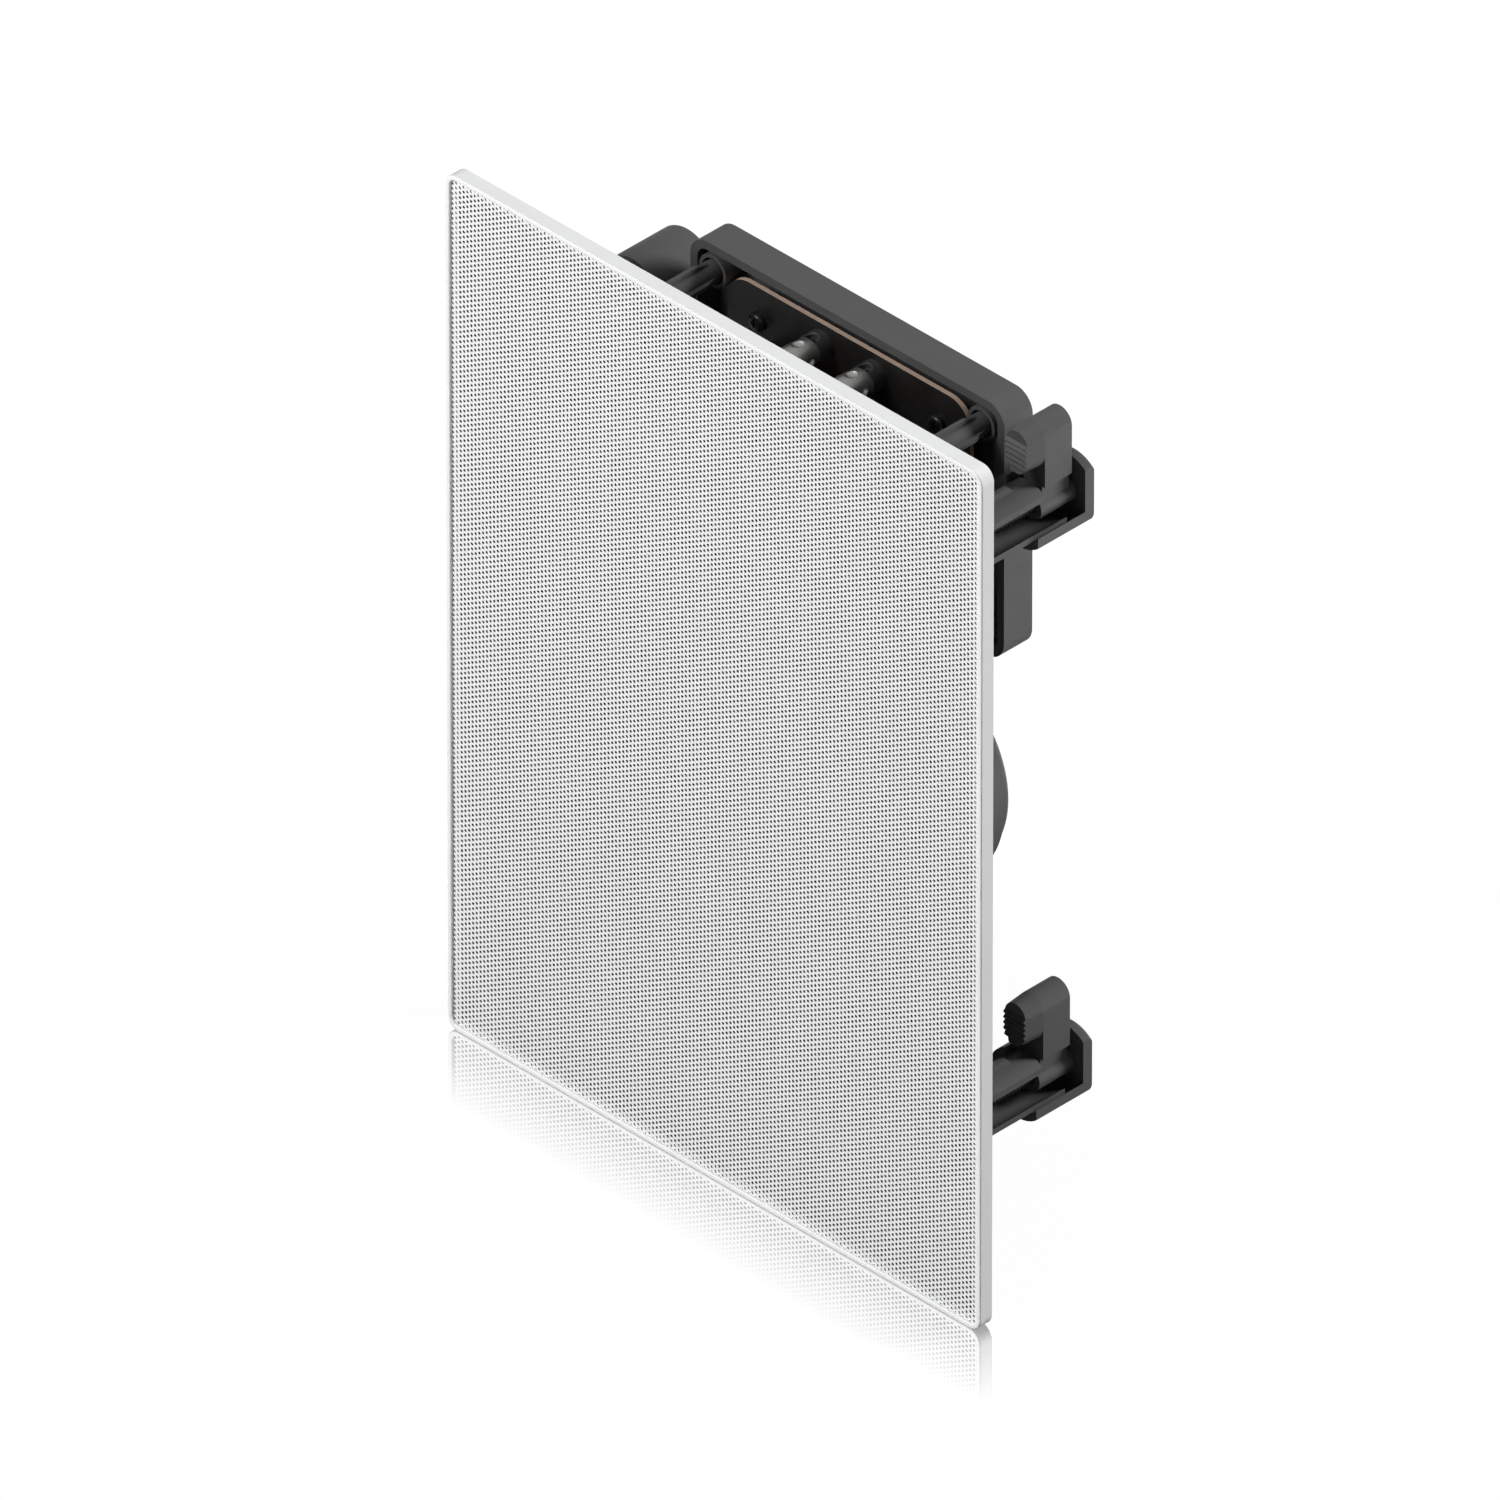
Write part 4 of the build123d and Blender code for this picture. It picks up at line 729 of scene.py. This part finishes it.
def place_lamp(name, direction, distance, size, level, glints=True):
    """A square soft lamp that gives a facing surface this share of a plain white level."""
    data = bpy.data.lights.new(name, "AREA")
    data.size = size
    data.energy = level * math.pi ** 2 * distance ** 2
    lamp = bpy.data.objects.new(name, data)
    towards = Vector(direction).normalized()
    lamp.location = towards * distance
    lamp.rotation_euler = towards.to_track_quat("Z", "Y").to_euler()
    lamp.visible_glossy = glints
    bpy.context.scene.collection.objects.link(lamp)


def math_node(tree, operation, first, second):
    """A maths node whose inputs are sockets or plain numbers."""
    made = tree.nodes.new("ShaderNodeMath")
    made.operation = operation
    for index, value in enumerate((first, second)):
        if isinstance(value, bpy.types.NodeSocket):
            tree.links.new(value, made.inputs[index])
        else:
            made.inputs[index].default_value = value
    return made.outputs[0]


def ranged_node(tree, value, start, end, low, high):
    """A value carried over from one range to another."""
    made = tree.nodes.new("ShaderNodeMapRange")
    made.inputs["From Min"].default_value = start
    made.inputs["From Max"].default_value = end
    made.inputs["To Min"].default_value = low
    made.inputs["To Max"].default_value = high
    tree.links.new(value, made.inputs["Value"])
    return made.outputs["Result"]


def ray_kinds(tree):
    """1 for rays that see the backdrop plainly, also in a mirror, and 1 for rays off glossy surfaces."""
    path = tree.nodes.new("ShaderNodeLightPath").outputs
    plain = math_node(tree, "MAXIMUM", path["Is Camera Ray"], path["Is Transmission Ray"])
    return math_node(tree, "MAXIMUM", plain, path["Is Singular Ray"]), path["Is Glossy Ray"]


def white_world():
    """White where it is seen, with a dimmer ceiling in soft reflections and little light of its own."""
    world = bpy.data.worlds.new("studio")
    bpy.context.scene.world = world
    world.use_nodes = True
    tree = world.node_tree
    background = tree.nodes["Background"]
    background.inputs["Color"].default_value = (1, 1, 1, 1)
    seen, glossy = ray_kinds(tree)
    split = tree.nodes.new("ShaderNodeSeparateXYZ")
    tree.links.new(tree.nodes.new("ShaderNodeTexCoord").outputs["Generated"], split.inputs["Vector"])
    ceiling = ranged_node(tree, split.outputs["Z"], 0.0, CEILING_HEIGHT, 1.0, CEILING_LEVEL)
    shown = math_node(tree, "MAXIMUM", seen, math_node(tree, "MULTIPLY", glossy, ceiling))
    tree.links.new(math_node(tree, "MAXIMUM", shown, AMBIENT), background.inputs["Strength"])


def mirror_share(tree):
    """How much the floor mirrors: most at the grille's foot, fading to none a little way out."""
    place = tree.nodes.new("ShaderNodeNewGeometry").outputs["Position"]
    split = tree.nodes.new("ShaderNodeSeparateXYZ")
    tree.links.new(place, split.inputs["Vector"])
    low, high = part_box("grille_frame")
    right = math_node(tree, "SUBTRACT", split.outputs["X"], high.x)
    left = math_node(tree, "SUBTRACT", low.x, split.outputs["X"])
    front = math_node(tree, "SUBTRACT", low.y, split.outputs["Y"])
    side = math_node(tree, "MAXIMUM", right, left)
    out = math_node(tree, "MAXIMUM", math_node(tree, "MAXIMUM", side, front), 0.0)
    fade = math_node(tree, "SUBTRACT", 1.0, math_node(tree, "DIVIDE", out, MIRROR_REACH))
    beside = math_node(tree, "ADD", split.outputs["Y"], math_node(tree, "MAXIMUM", side, 0.0))
    ahead = math_node(tree, "LESS_THAN", beside, high.y)
    strength = math_node(tree, "MULTIPLY", ahead, MIRROR_STRENGTH)
    return math_node(tree, "MULTIPLY", math_node(tree, "MAXIMUM", fade, 0.0), strength)


def floor_shade(tree):
    """The floor's level in reflections: in shade close behind the object, white everywhere else."""
    split = tree.nodes.new("ShaderNodeSeparateXYZ")
    tree.links.new(tree.nodes.new("ShaderNodeNewGeometry").outputs["Position"], split.inputs["Vector"])
    behind = ranged_node(tree, split.outputs["Y"], *SHADE_SPAN, SHADE_LEVEL, FLOOR_MIRRORED)
    ahead = math_node(tree, "LESS_THAN", split.outputs["Y"], 0.0)
    return math_node(tree, "MAXIMUM", behind, math_node(tree, "MULTIPLY", ahead, FLOOR_MIRRORED))


def floor_material():
    """White floor that keeps the shadow and mirrors the grille's foot; it is clear from below."""
    material = bpy.data.materials.new("white_floor")
    material.use_nodes = True
    tree = material.node_tree
    tree.nodes.clear()
    seen, glossy = ray_kinds(tree)
    glow = tree.nodes.new("ShaderNodeEmission")
    glow.inputs["Strength"].default_value = FLOOR_GLOW
    seen_diffuse = tree.nodes.new("ShaderNodeBsdfDiffuse")
    seen_diffuse.inputs["Color"].default_value = (*grey(FLOOR_SEEN_DIFFUSE), 1)
    lit = tree.nodes.new("ShaderNodeAddShader")
    tree.links.new(glow.outputs[0], lit.inputs[0])
    tree.links.new(seen_diffuse.outputs[0], lit.inputs[1])
    mirror = tree.nodes.new("ShaderNodeBsdfGlossy")
    mirror.inputs["Color"].default_value = (1, 1, 1, 1)
    mirror.inputs["Roughness"].default_value = 0.0
    shown = tree.nodes.new("ShaderNodeMixShader")
    tree.links.new(mirror_share(tree), shown.inputs["Fac"])
    tree.links.new(lit.outputs[0], shown.inputs[1])
    tree.links.new(mirror.outputs[0], shown.inputs[2])
    bounce = tree.nodes.new("ShaderNodeBsdfDiffuse")
    mirrored = math_node(tree, "MULTIPLY", glossy, floor_shade(tree))
    tree.links.new(math_node(tree, "MAXIMUM", mirrored, FLOOR_BOUNCE), bounce.inputs["Color"])
    chosen = tree.nodes.new("ShaderNodeMixShader")
    tree.links.new(seen, chosen.inputs["Fac"])
    tree.links.new(bounce.outputs[0], chosen.inputs[1])
    tree.links.new(shown.outputs[0], chosen.inputs[2])
    clear = tree.nodes.new("ShaderNodeBsdfTransparent")
    sided = tree.nodes.new("ShaderNodeMixShader")
    tree.links.new(tree.nodes.new("ShaderNodeNewGeometry").outputs["Backfacing"], sided.inputs["Fac"])
    tree.links.new(chosen.outputs[0], sided.inputs[1])
    tree.links.new(clear.outputs[0], sided.inputs[2])
    output = tree.nodes.new("ShaderNodeOutputMaterial")
    tree.links.new(sided.outputs[0], output.inputs["Surface"])
    return material


def place_floor():
    """A wide plane at the foot of the object."""
    reach = FLOOR_SIZE / 2
    foot = cad_box[0][2]
    mesh = bpy.data.meshes.new("floor")
    corners = [(-reach, -reach, foot), (reach, -reach, foot), (reach, reach, foot), (-reach, reach, foot)]
    mesh.from_pydata(corners, [], [(0, 1, 2, 3)])
    mesh.materials.append(floor_material())
    floor = bpy.data.objects.new("floor", mesh)
    bpy.context.scene.collection.objects.link(floor)


def dress_nodes():
    """Every CAD node gets its finish, and the board its bare edge."""
    for material, names in NODE_FINISHES.items():
        for name in names:
            dress(name, material)
    for corner in CLAMP_CORNERS:
        dress(f"clamp_screw_{corner}", black_screw)
    dress_faces("crossover_board", board_edge, lambda face: abs(face.normal.y) < BOARD_EDGE_FACING)


dress_nodes()
perforated_sheet()
all_screws()
wound_coils()
flexing_ring("woofer_surround", SURROUND_SECTORS, rubber)
flexing_ring("woofer_spider", SPIDER_SECTORS, spider_cloth)
place_floor()
white_world()
place_lamp("key", **KEY_LAMP)
place_lamp("front_fill", **FRONT_FILL)
place_lamp("back_light", **BACK_LIGHT)
place_camera()
bpy.context.scene.view_settings.view_transform = "Standard"
